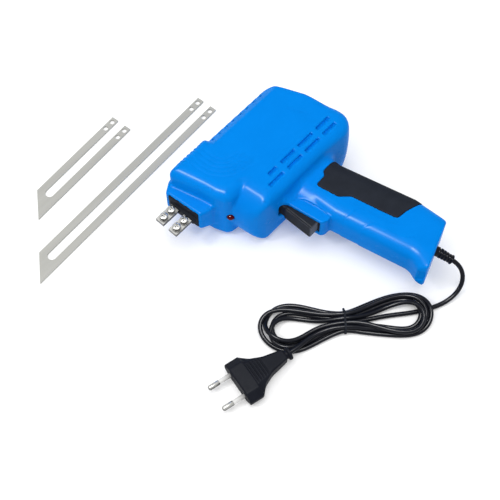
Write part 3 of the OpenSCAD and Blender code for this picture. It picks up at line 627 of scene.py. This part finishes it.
class Side:
    """Everything that depends on x and y alone."""

    def __init__(self, x, y):
        X, Y = np.meshgrid(x, y, indexing="ij")
        self.X, self.Y = X, Y
        self.body = poly_sdf(rounded(BODY), X, Y)
        self.body_open = poly_sdf(rounded(BODY_OPEN), X, Y)
        self.nose = poly_sdf(rounded(NOSE), X, Y)
        self.snout = poly_sdf(rounded(SNOUT), X, Y)
        self.handle = poly_sdf(rounded(HANDLE), X, Y)
        self.handle_open = poly_sdf(rounded(HANDLE_OPEN), X, Y)
        self.boss = poly_sdf(rounded(BOSS), X, Y)
        self.lip = poly_sdf(rounded(LIP), X, Y)
        self.grip = poly_sdf(rounded(GRIP), X, Y)
        self.corner = sstep(28, 48, Y) * sstep(-20, -52, X)
        self.rear = sstep(-36, -48, X) * sstep(34, 10, Y)
        # ribs of the nose, crease, and steps of the handle
        d = line_sdf(RIB0, X, Y)
        d = -d if d[np.argmin(abs(x - 40)), np.argmin(abs(y - 5))] > 0 else d
        band = sstep(2.0, 0.9, d) * sstep(-20.9, -19.8, d)
        self.rib = (0.5 - 0.5 * np.cos(2 * np.pi * d / 3.8)) * band * sstep(6, 26, X)
        self.rib_top = sstep(-8, -13, Y) * sstep(-9, -4, self.nose)
        c = line_sdf(CREASE, X, Y)
        self.crease = np.exp(-(c / 0.6) ** 2)
        self.ridge = np.exp(-(line_sdf(RIDGE, X, Y) / 0.6) ** 2)
        self.louvre = sstep(-54, -51, X) * sstep(34, 31, X) * sstep(33, 35, Y) * sstep(51, 49, Y)
        s1 = line_sdf(STEP1, X, Y)
        s1 = s1 if s1[np.argmin(abs(x + 8)), np.argmin(abs(y - 130))] > 0 else -s1
        s2 = line_sdf(STEP2, X, Y)
        s2 = s2 if s2[np.argmin(abs(x + 4)), np.argmin(abs(y - 140))] > 0 else -s2
        fade = sstep(-26, -15, X)
        self.swell = (0.36 * sstep(-0.4, 0.4, s1) * sstep(70, 20, s1) + 0.36 * sstep(-0.4, 0.4, s2) * sstep(34, 14, s2)) * fade
        self.ring = (np.exp(-(s1 / 0.55) ** 2) * sstep(-7, -2, X) + np.exp(-(s2 / 0.55) ** 2) * sstep(-9, -4, X)) * 0.24


def outer(s, w, plain=False):
    """Outside of the closed housing. plain leaves out the small relief."""
    X, Y = s.X[:, :, None], s.Y[:, :, None]
    w = w[None, None, :]
    e = lambda a: a[:, :, None]
    bulge = 2.3 * e(s.corner) * (1 - (w / 31.0) ** 2)
    body = rint(e(s.body_open) - bulge, w - 31.0, 9.5 - 4.5 * e(s.rear))
    body = smax(body, e(s.body) - bulge, 1.0)
    body = smax(body, -0.6955 * (Y + 10.5) + 0.7187 * (w - 31.0), 0.9)
    cx = 19.3 - 0.1 * (Y - 27.0)
    body = smax(body, np.hypot(np.maximum(X - cx, 0), w) - 35.5, 3.0)
    nose = rint(e(s.nose), w - 31.0, 9.5)
    f = np.maximum(smin(body, nose, 1.6), w - 31.0)
    if not plain:
        f = f + e(s.rib) * (0.38 + 0.2 * e(s.rib_top)) + (0.24 * e(s.crease) + 0.32 * e(s.ridge)) * sstep(27, 30, w)
    snout = rint(e(s.snout), w - (11.0 + 4.2 * (74.6 - X) / 22.6), 2.2)
    f = smin(f, snout, 2.6)
    hand = rint(e(s.handle_open), w - 17.0, 12.0)
    if not plain:
        hand = hand - e(s.swell) + e(s.ring)
    hand = smax(hand, e(s.handle), 1.8)
    boss = rint(e(s.boss), w - 11.2, 1.0)
    hand = smin(hand, boss, 1.0 + 5.0 * sstep(79.0, 66.0, Y))
    if not plain:
        # flat lip beside the trigger, let into the boss
        hand = smax(hand, -np.maximum(e(s.lip), 10.6 - w), 0.35)
    return smin(f, hand, 6.5)


def shell(side_x, side_y, w, right):
    s = Side(side_x, side_y)
    X, Y = s.X[:, :, None], s.Y[:, :, None]
    W = w[None, None, :]
    e = lambda a: a[:, :, None]
    f = outer(s, w)
    inner = outer(s, w, plain=True) + 2.4 + 2.3 * e(s.louvre) * sstep(22, 27, W)
    base = f
    # seat of the soft grip
    f = np.maximum(f, -np.maximum(-(base + 1.6), e(s.grip)))
    g = np.maximum(f, -inner)
    # screw posts
    for sx, sy, deep in SCREWS:
        post = np.hypot(X - sx, Y - sy) - 4.0
        g = np.minimum(g, np.maximum(post, f + 0.8))
    # toe pocket
    tx, ty = (X + 3.2), (Y - 168.5)
    al, dp = -0.502 * tx + 0.865 * ty, 0.865 * tx + 0.502 * ty
    g = np.maximum(g, -np.maximum(np.maximum(np.abs(al) - 2.5, W - 6.6), -dp - 1.3))
    # mouth of the snout, with its inner step
    g = np.maximum(g, -np.maximum(np.maximum(60.0 - X, W - 9.3), np.maximum(-14.4 - Y, Y - 13.8)))
    g = np.maximum(g, -np.maximum(np.maximum(np.maximum(40.0 - X, X - 66.0), W - 10.3), np.maximum(-15.4 - Y, Y - 14.8)))
    # trigger window, and room behind it
    g = np.maximum(g, -np.maximum(np.maximum(np.maximum(6.0 - X, X - 24.0), W - 7.45), np.maximum(55.3 - Y, Y - 86.4)))
    g = np.maximum(g, -np.maximum(np.maximum(np.maximum(-5.0 - X, X - 10.0), W - 10.4), np.maximum(55.3 - Y, Y - 86.9)))
    # slot for the trigger's end in the wall of the body
    g = np.maximum(g, -np.maximum(rint(np.maximum(3.5 - X, X - 26.2), W - 7.3, 2.6), np.maximum(51.2 - Y, Y - 57.0)))
    # lamp hole, square to the curved front
    la, lt = (X - LAMP[0]) * LAMP_V[0] + (Y - LAMP[1]) * LAMP_V[1], (Y - LAMP[1]) * LAMP_V[0] - (X - LAMP[0]) * LAMP_V[1]
    g = np.maximum(g, -np.maximum(np.hypot(lt, W) - 3.1, -6.0 - la))
    # lead exit
    al = (X + 28.0) * exit_v[0] + (Y - 165.0) * exit_v[1]
    ac = (X + 28.0) * exit_v[1] - (Y - 165.0) * exit_v[0]
    g = np.maximum(g, -np.maximum(np.hypot(ac, W) - 4.15, -12.0 - al))
    # louvres: flush at the lower edge, deep at the upper edge and the rear end
    for y0, spans in ((36.9, ((21, 12.4), (7, -8.2), (-13, -28.6), (-34, -48.2))), (43.9, ((28, 12.4), (7, -8.2), (-13, -28.6), (-34, -47.6)))):
        for xa, xb in spans:
            depth = 3.0 * clamp01((y0 + 3.6 - Y) / 3.6) - 0.3 * sstep(3.0, 3.8, Y - y0)
            cut = np.maximum(box_sdf(X, Y, xb, xa, y0, y0 + 4.0), (31.0 - depth) - W)
            g = np.maximum(g, -cut)
    # vents across the top
    for xv in (23.9, 16.6, 8.1, 0.6, -7.8, -15.1, -23.2, -30.6):
        g = np.maximum(g, -np.maximum(np.maximum(np.abs(X - xv) - 1.05, W - 16.5), Y + 16.2))
        g = np.maximum(g, -np.maximum(np.maximum(np.abs(X - xv) - 1.4, np.abs(W - 23.5) - 2.0), Y + 12.5))
    # screw bores
    for sx, sy, deep in SCREWS:
        rr = np.hypot(X - sx, Y - sy)
        g = np.maximum(g, -np.maximum(rr - 1.62, W - (12.0 if not right else 60.0)))
        if right:
            g = np.maximum(g, -np.maximum(rr - 3.2, deep - W))
    return np.maximum(g, SEAM - W).astype(np.float32), g.astype(np.float32)


H = 0.7
sx = np.arange(-66.3, 78.0, H)
sy = np.arange(-25.37, 175.0, H)
sw = np.arange(-0.79, 33.0, H)
for name, right in (("left_shell", False), ("right_shell", True)):
    F, F0 = shell(sx, sy, sw, right)
    V, Q, rim = nets(F, (sx[0], sy[0], sw[0]), H, (F0, SEAM))
    if right:
        V[:, 2] = ZM - V[:, 2]
        Q = Q[:, ::-1]
    else:
        V[:, 2] += ZM
    piece(name, V, Q, "housing", MAT["blue_shell"], ("right_housing" if right else "left_housing",), rim=rim)

# screws that hold the shells together, heads sunk in the right shell
ux = np.arange(-3.35, 3.4, 0.25)
Vs, Qs, nv = [], [], 0
for k, (ax, ay, seat) in enumerate(SCREWS):
    uz = np.arange(-seat - 11.4, 2.9, 0.25)
    UX, UY, UZ = np.meshgrid(ux, ux, uz, indexing="ij")
    UR = np.hypot(UX, UY)
    cu, su = math.cos(0.4 + 0.55 * k), math.sin(0.4 + 0.55 * k)
    CX, CY = np.abs(cu * UX + su * UY), np.abs(cu * UY - su * UX)
    cross = np.minimum(np.maximum(CX - 0.45, CY - 1.8), np.maximum(CY - 0.45, CX - 1.8))
    hf = np.maximum(np.maximum(rint(UR - 2.85, UZ - 2.4, 0.6), 0.06 - UZ), -np.maximum(cross, 1.1 - UZ))
    hf = np.minimum(hf, np.maximum(UR - 1.5, np.maximum(-seat - 10.9 - UZ, UZ - 0.7)))
    v, q, _ = nets(hf.astype(np.float32), (ux[0], ux[0], uz[0]), 0.25)
    Vs.append(np.c_[v[:, 0] + ax, v[:, 1] + ay, ZM - seat - v[:, 2]])
    Qs.append(q[:, ::-1] + nv)
    nv += len(v)
piece("shell_screws", np.vstack(Vs), np.vstack(Qs), "housing", MAT["dark_screw"], ("housing_screws",))

# soft grips
gx, gy, gw = np.arange(-53.2, 0.0, 0.6), np.arange(58.1, 138.5, 0.6), np.arange(-0.73, 19.5, 0.6)
gs = Side(gx, gy)
gf = outer(gs, gw)
skin = np.maximum(np.maximum(gf - 0.32, -(gf + 1.45)), np.maximum(gs.grip[:, :, None] + 0.12, 0.06 - gw[None, None, :]))
V, Q, _ = nets(skin.astype(np.float32), (gx[0], gy[0], gw[0]), 0.6)
for name, sgn in (("grip_left", 1), ("grip_right", -1)):
    W = V.copy()
    W[:, 2] = ZM + sgn * W[:, 2]
    piece(name, W, Q if sgn > 0 else Q[:, ::-1], "housing", MAT["soft_grip"], ("left_grip" if sgn > 0 else "right_grip",))

# ------------------------------------------------------------------ trigger
tx, ty, tz = np.arange(0.3, 26.6, 0.4), np.arange(50.9, 87.0, 0.4), np.arange(-10.6, 10.8, 0.4)
TX, TY, TZ = np.meshgrid(tx, ty, tz, indexing="ij")
AZ = np.abs(TZ)
prof = rint(TX - 24.7, AZ - 6.8, 1.1)
bar = rint(rint(prof, np.abs(TY - 71.0) - 13.1, 0.9), 1.5 - TX, 0.3)
# rebate round the front edges, and the step where the bar meets its base
edge = np.maximum(np.maximum(np.abs(TX - 22.9) - 0.42, np.abs(TY - 71.0) - 13.6), 6.35 - AZ)
bar = np.maximum(bar, -edge)
base = rint(rint(np.maximum(1.5 - TX, TX - 15.8), AZ - 7.05, 0.5), np.abs(TY - 70.85) - 15.15, 0.5)
flange = rint(rint(np.maximum(1.5 - TX, TX - 4.5), AZ - 9.6, 0.4), np.abs(TY - 71.0) - 13.0, 0.4)
# end that runs in the wall of the body
tongue = rint(rint(np.maximum(8.0 - TX, TX - 24.2), AZ - 6.75, 2.4), np.maximum(51.7 - TY, TY - 60.0), 0.5)
tf = np.minimum(np.minimum(np.minimum(bar, base), tongue), flange)
tf = np.maximum(tf, -np.maximum(np.hypot(TY - 74.0, TZ) - 2.05, TX - 5.5))
tf = np.maximum(tf, -np.maximum(box_sdf(TY, AZ, 60.5, 69.0, -9, 4.6), TX - 3.0))
V, Q, _ = nets(tf.astype(np.float32), (tx[0], ty[0], tz[0] + ZM), 0.4)
piece("trigger_bar", V, Q, "trigger", MAT["black_plastic"], ("trigger",))

# pilot lamp: domed lens in the chin
lens = [(0, 0), (2.7, 0), (2.85, 0.15), (2.9, 4.2)] + [(2.9 * math.cos(math.radians(a)), 4.2 + 2.6 * math.sin(math.radians(a))) for a in range(9, 90, 9)] + [(0, 6.8)]
V, F = lathe(lens, (LAMP[0] - 4.6 * LAMP_V[0], LAMP[1] - 4.6 * LAMP_V[1], ZM), (LAMP_V[0], LAMP_V[1], 0), n=40)
piece("pilot_lens", V, F, "housing", MAT["lamp_red"], ("led_lens",))

# terminal screws: pan heads with a cross recess, on a short neck
qx, qz = np.arange(-3.9, 4.0, 0.24), np.arange(-7.6, 3.7, 0.24)
QX, QY, QZ = np.meshgrid(qx, qx, qz, indexing="ij")
QR = np.hypot(QX, QY)
head = rint(QR - 3.15, QZ - 2.75, 1.0)
head = np.maximum(np.maximum(head, 0.4 - QZ), np.sqrt(QR ** 2 + (QZ + 3.9) ** 2) - 6.65)
cross = np.minimum(np.maximum(np.abs(QX) - 0.45, np.abs(QY) - 1.75), np.maximum(np.abs(QY) - 0.45, np.abs(QX) - 1.75))
sf = np.maximum(head, -np.maximum(cross, 1.35 - QZ))
sf = np.minimum(sf, np.maximum(QR - 1.98, np.maximum(-6.9 - QZ, QZ - 0.8)))
v1, q1, _ = nets(sf.astype(np.float32), (qx[0], qx[0], qz[0]), 0.24)
Vs, Qs = [], []
for n_, (ax, ay, tw) in enumerate(((81.5, -6.75, 0.3), (89.5, -6.75, 0.9), (81.5, 6.75, 0.6), (89.5, 6.75, 0.1))):
    rot = np.array([[math.cos(tw), math.sin(tw)], [-math.sin(tw), math.cos(tw)]])
    Vs.append(np.c_[v1[:, :2] @ rot + (ax, ay), v1[:, 2] + 33.8])
    Qs.append(q1 + n_ * len(v1))
piece("terminal_pan_screws", np.vstack(Vs), np.vstack(Qs), "housing", MAT["nickel"], ("terminal_screws",))

# block in the nose, with a passage for each bar
kx, ky, kz = np.arange(57.4, 79.0, 0.5), np.arange(-16.2, 15.8, 0.5), np.arange(-11.2, 11.4, 0.5)
KX, KY, KZ = np.meshgrid(kx, ky, kz, indexing="ij")
AK = np.abs(KZ)
plate = rint(rint(np.maximum(60.2 - KX, KX + 0.105 * KY - 75.3), AK - 9.2, 0.5), np.maximum(-14.2 - KY, KY - 13.7), 0.5)
root = rint(np.maximum(np.maximum(58.2 - KX, KX - 65.9), AK - 10.2), np.maximum(-15.2 - KY, KY - 14.7), 0.3)
# ledge that the bars come out of
ledge = rint(rint(np.maximum(62.0 - KX, KX - 77.4), np.abs(KZ - 0.25) - 3.0, 0.4), np.abs(KY + 0.2) - 12.4, 0.4)
kf = np.minimum(np.minimum(plate, ledge), root)
for s_ in (-1, 1):
    kf = np.maximum(kf, -np.maximum(np.abs(KY - s_ * 6.75) - 4.1, np.abs(KZ - 0.5) - 1.6))
V, Q, _ = nets(kf.astype(np.float32), (kx[0], ky[0], kz[0] + ZM), 0.5)
piece("nose_block", V, Q, "housing", MAT["black_plastic"], ("nose_insulator",))

# trigger spring: coil between the switch and the trigger
pts = np.array([[-8.3 + 9.1 * k / 96, 74 + 3.6 * math.cos(2 * math.pi * k / 24), ZM + 3.6 * math.sin(2 * math.pi * k / 24)] for k in range(97)])
tan = np.gradient(pts, axis=0); tan /= np.linalg.norm(tan, axis=1)[:, None]
V, F = [], []
for i, (p, t) in enumerate(zip(pts, tan)):
    a = np.cross(t, (1, 0, 0)); a /= np.linalg.norm(a)
    b = np.cross(t, a)
    V += [p + 0.45 * (math.cos(k * math.pi / 4) * a + math.sin(k * math.pi / 4) * b) for k in range(8)]
    if i:
        for k in range(8):
            F.append([(i - 1) * 8 + k, (i - 1) * 8 + (k + 1) % 8, i * 8 + (k + 1) % 8, i * 8 + k])
F.append(list(range(7, -1, -1)))
F.append(list(range(96 * 8, 96 * 8 + 8)))
spring = piece("trigger_coil", V, F, "housing", MAT["zinc"], ("trigger_spring",))
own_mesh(spring)

# ------------------------------------------------------------------ strain relief
prof = [(0, -12.2), (5.0, -12.2), (5.2, -12.0), (5.2, -9.4), (5.0, -9.2), (4.0, -9.2), (4.0, 0.9), (3.7, 1.3), (0, 1.3)]
V1, F1 = lathe(prof, exit_p, exit_v)
rp = [(0, -0.8), (3.3, -0.8), (3.4, 1.2)]
for k in range(4):
    s0, r0 = 1.4 + 2.5 * k, 4.05 - 0.17 * k
    rp += [(r0 - 0.75, s0 + 0.1), (r0 - 0.75, s0 + 0.7), (r0 - 0.1, s0 + 0.9), (r0, s0 + 1.1), (r0 - 0.03, s0 + 2.1), (r0 - 0.12, s0 + 2.3)]
rp += [(2.9, 11.5), (2.9, 11.9), (3.8, 12.05), (3.9, 12.2), (3.9, 12.9), (3.75, 13.1), (2.3, 13.15), (1.95, 13.0), (0, 13.0)]
V2, F2 = lathe(rp, exit_p, boot_v)
piece("lead_boot", np.vstack([V1, V2]), [list(f) for f in F1] + [[i + len(V1) for i in f] for f in F2], "housing", MAT["cord_black"], ("strain_relief",))

# ------------------------------------------------------------------ plug
px, py, pz = np.arange(-47.4, 1.6, 0.47), np.arange(-18.9, 19.0, 0.47), np.arange(-7.7, 7.9, 0.47)
PX, PY, PZ = np.meshgrid(px, py, pz, indexing="ij")
AY, AZ = np.abs(PY), np.abs(PZ)
outline = poly_sdf(rounded([[0, -17.9, 0.7], [0, 17.9, 0.7], [-11.6, 17.9, 1.6], [-17.5, 11.4, 9], [-26, 7.2, 16], [-46, 3.4, 0], [-46, -3.4, 0], [-26, -7.2, 16], [-17.5, -11.4, 9], [-11.6, -17.9, 1.6]]),
                   PX[:, :, 0], PY[:, :, 0])[:, :, None]
half = np.where(PX > -12.5, 6.85, 6.85 - 2.35 * clamp01((-12.5 - PX) / 28.5))
pf = rint(outline, AZ - half, 1.1)
flat = 11.6 - 0.0 * PX
pf = smax(pf, (AY - flat) * 0.6 + (AZ - 6.85) * 0.8, 0.5)
pf = smax(pf, (AY - (8.6 + 0.16 * (PX + 12.5))) * 0.5 + (AZ - half) * 0.866 - 30 * sstep(-11.6, -12.6, -PX) * 0, 0.8) * sstep(-11, -13, PX) + pf * (1 - sstep(-11, -13, PX))
for k in range(5):
    c = -13.6 - 2.45 * k
    pf = np.maximum(pf, -np.maximum(np.maximum(np.abs(PX - c) - 0.5, AY - (8.2 - 0.35 * k)), half - 0.75 - AZ))
# step at the end of the flat plate
pf = np.maximum(pf, -np.maximum(np.maximum(np.abs(PX + 12.1) - 0.35, AY - 11.2), 6.35 - AZ))
# groove before the collar
pf = np.maximum(pf, -np.maximum(np.maximum(-44.0 - PX, PX + 41.4), 3.4 - np.hypot(PY, PZ)))
pf = np.minimum(pf, rint(np.maximum(-46.2 - PX, PX + 44.0), np.hypot(PY, PZ) - 5.4, 0.5))
pf = np.maximum(pf, -np.maximum(np.hypot(PY, PZ) - 1.95, PX + 44.2))
pf = np.maximum(pf, -np.maximum(np.hypot(AY - 9.45, PZ) - 1.62, -8.0 - PX))
V, Q, _ = nets(pf.astype(np.float32), (px[0], py[0], pz[0]), 0.47)
V = plug_p + V[:, :1] * plug_v + V[:, 1:2] * plug_n + V[:, 2:] * np.array([0, 0, 1.0])
piece("plug_shell", V, Q, "housing", MAT["plug_black"], ("plug_body",))
Vs, Fs, Vt, Ft = [], [], [], []
for s in (-1, 1):
    o = plug_p + s * 9.45 * plug_n
    v, f = lathe([(0, -7.6), (1.5, -7.6), (1.5, 9.98), (1.9, 10.0), (2.0, 10.12), (2.0, 17.5), (1.9, 18.1), (1.55, 18.65), (1.0, 18.95), (0, 19.0)], o, plug_v, n=32)
    Ft += [[i + sum(map(len, Vt)) for i in x] for x in f]; Vt.append(v)
    v, f = lathe([(1.52, 0.0), (1.8, 0.0), (1.8, 9.7), (1.72, 9.95), (1.52, 9.95), (1.52, 0.0)], o, plug_v, n=32)
    Fs += [[i + sum(map(len, Vs)) for i in x] for x in f]; Vs.append(v)
piece("plug_contacts", np.vstack(Vt), Ft, "housing", MAT["nickel"], ("plug_pins",))
piece("contact_sleeves", np.vstack(Vs), Fs, "housing", MAT["sleeve_grey"], ("pin_sleeves",))

# ------------------------------------------------------------------ tie round the hank
bu, bv, bz = np.arange(-3.4, 3.5, 0.27), np.arange(-14.2, 13.2, 0.27), np.arange(-0.5, 11.6, 0.27)
BU, BV, BZ = np.meshgrid(bu, bv, bz, indexing="ij")
hull = rounded([[-7.2, ZB, 0], [7.2, ZB, 0], [5.4, ZT, 0], [-5.4, ZT, 0]])
hd = poly_sdf(hull, BV[0], BZ[0])[None]
band = rint(np.abs(hd - 2.22) - 0.40, np.abs(BU + 0.06 * BV) - 0.85, 0.25)


def capsule(a, b, r):
    a, b = np.array(a, float), np.array(b, float)
    d = b - a
    t = clamp01(((BU - a[0]) * d[0] + (BV - a[1]) * d[1] + (BZ - a[2]) * d[2]) / (d @ d))
    return np.sqrt((BU - a[0] - t * d[0]) ** 2 + (BV - a[1] - t * d[1]) ** 2 + (BZ - a[2] - t * d[2]) ** 2) - r


band = smin(band, capsule((0.2, -8.8, 5.0), (0.0, -9.5, 5.6), 0.9), 0.5)
V, Q, _ = nets(band.astype(np.float32), (bu[0], bv[0], bz[0]), 0.27)
xy = HC + V[:, :1] * HU + V[:, 1:2] * HV
# the hank's axes are left handed seen from above, so the faces turn round
piece("hank_band", np.c_[xy, V[:, 2]], Q[:, ::-1], "housing", MAT["black_plastic"], ("hank_tie",))

# ------------------------------------------------------------------ CAD pieces that are shown as they are
for sub in frame["record"]["subparts"]:
    ob = frame["nodes"].get(sub["node"])
    if ob is None or ob.hide_render:
        continue
    ob.data.materials.clear()
    ob.data.materials.append(MAT[sub["material_slot"]])
    wd = {"upper_terminal": 0.45, "lower_terminal": 0.45, "terminal_screws": 0.4, "terminal_washers": 0.2, "long_blade": 0.22, "short_blade": 0.22,
          "nose_insulator": 0.5, "housing_screws": 0.3}.get(sub["node"])
    if wd:
        bv_ = ob.modifiers.new("edge", "BEVEL")
        bv_.width = wd * MM
        bv_.segments = 3
        bv_.limit_method = "ANGLE"
        bv_.angle_limit = math.radians(35)
        bv_.use_clamp_overlap = True
        bv_.harden_normals = False
        wn = ob.modifiers.new("normals", "WEIGHTED_NORMAL")
        wn.keep_sharp = False

# ------------------------------------------------------------------ floor and light
n = 9
fv = [[(-1.6 + 3.2 * i / (n - 1)), (-1.6 + 3.2 * j / (n - 1)), -0.0003] for i in range(n) for j in range(n)]
ff = [[i * n + j, (i + 1) * n + j, (i + 1) * n + j + 1, i * n + j + 1] for i in range(n - 1) for j in range(n - 1)]
fm = bpy.data.meshes.new("floor")
fm.from_pydata(fv, [], ff)
floor = bpy.data.objects.new("floor", fm)
scene.collection.objects.link(floor)
fm.materials.append(finish("floor", (0.88, 0.88, 0.88), (0.90, 0.90, 0.90), rough=(0.7, 0.8), spec=0.1, scale=3, grain=60, bump=0.0, emis=((1.0, 1.0, 1.0), 0.14)))


def area(name, loc, aim, size, power, color=(1, 1, 1)):
    d = bpy.data.lights.new(name, "AREA")
    d.shape = "RECTANGLE"
    d.size, d.size_y = size
    d.energy = power
    d.color = color
    o = bpy.data.objects.new(name, d)
    scene.collection.objects.link(o)
    o.location = loc
    o.rotation_euler = (Vector(aim) - Vector(loc)).to_track_quat("-Z", "Y").to_euler()
    return o


key = area("key", (0.12, 0.08, 1.45), (0.05, 0.04, 0.0), (1.0, 1.0), 10.0)
side_l = area("side", (0.70, -0.32, 0.88), (0.03, 0.05, 0.03), (0.12, 0.12), 2.4)
# small lamp for the shine on the edges only
gleam = area("gleam", (0.715, -0.205, 0.925), (0.03, 0.05, 0.03), (0.085, 0.10), 58.0)
gleam_end = area("gleam_end", (0.715, 0.012, 0.925), (0.0, 0.12, 0.03), (0.065, 0.16), 84.0)
# one straight above for the shine along the lead, and a low one on the end of the trigger
gleam_up = area("gleam_up", (0.05, 0.10, 1.30), (0.05, 0.10, 0.0), (0.5, 0.5), 34.0)
end_l = area("end_light", (0.05, 0.60, 0.05), (0.021, 0.084, 0.031), (0.1, 0.05), 9.0)
end_l.visible_glossy = False
shells = ("left_shell", "right_shell", "grip_left", "grip_right", "trigger_bar", "pilot_lens")
for lamp, names in ((gleam, shells), (gleam_end, shells), (gleam_up, (mains_lead.name, "lead_boot", "plug_shell", "hank_band")), (end_l, ("trigger_bar",))):
    lamp.visible_diffuse = lamp is end_l
    lit = bpy.data.collections.new(lamp.name + "_on")
    for nm in names:
        lit.objects.link(bpy.data.objects[nm])
    lamp.light_linking.receiver_collection = lit
world = bpy.data.worlds.new("world")
scene.world = world
world.use_nodes = True
world.node_tree.nodes["Background"].inputs["Color"].default_value = (1.0, 1.0, 1.0, 1)
world.node_tree.nodes["Background"].inputs["Strength"].default_value = 0.74
scene.view_settings.view_transform = "Standard"

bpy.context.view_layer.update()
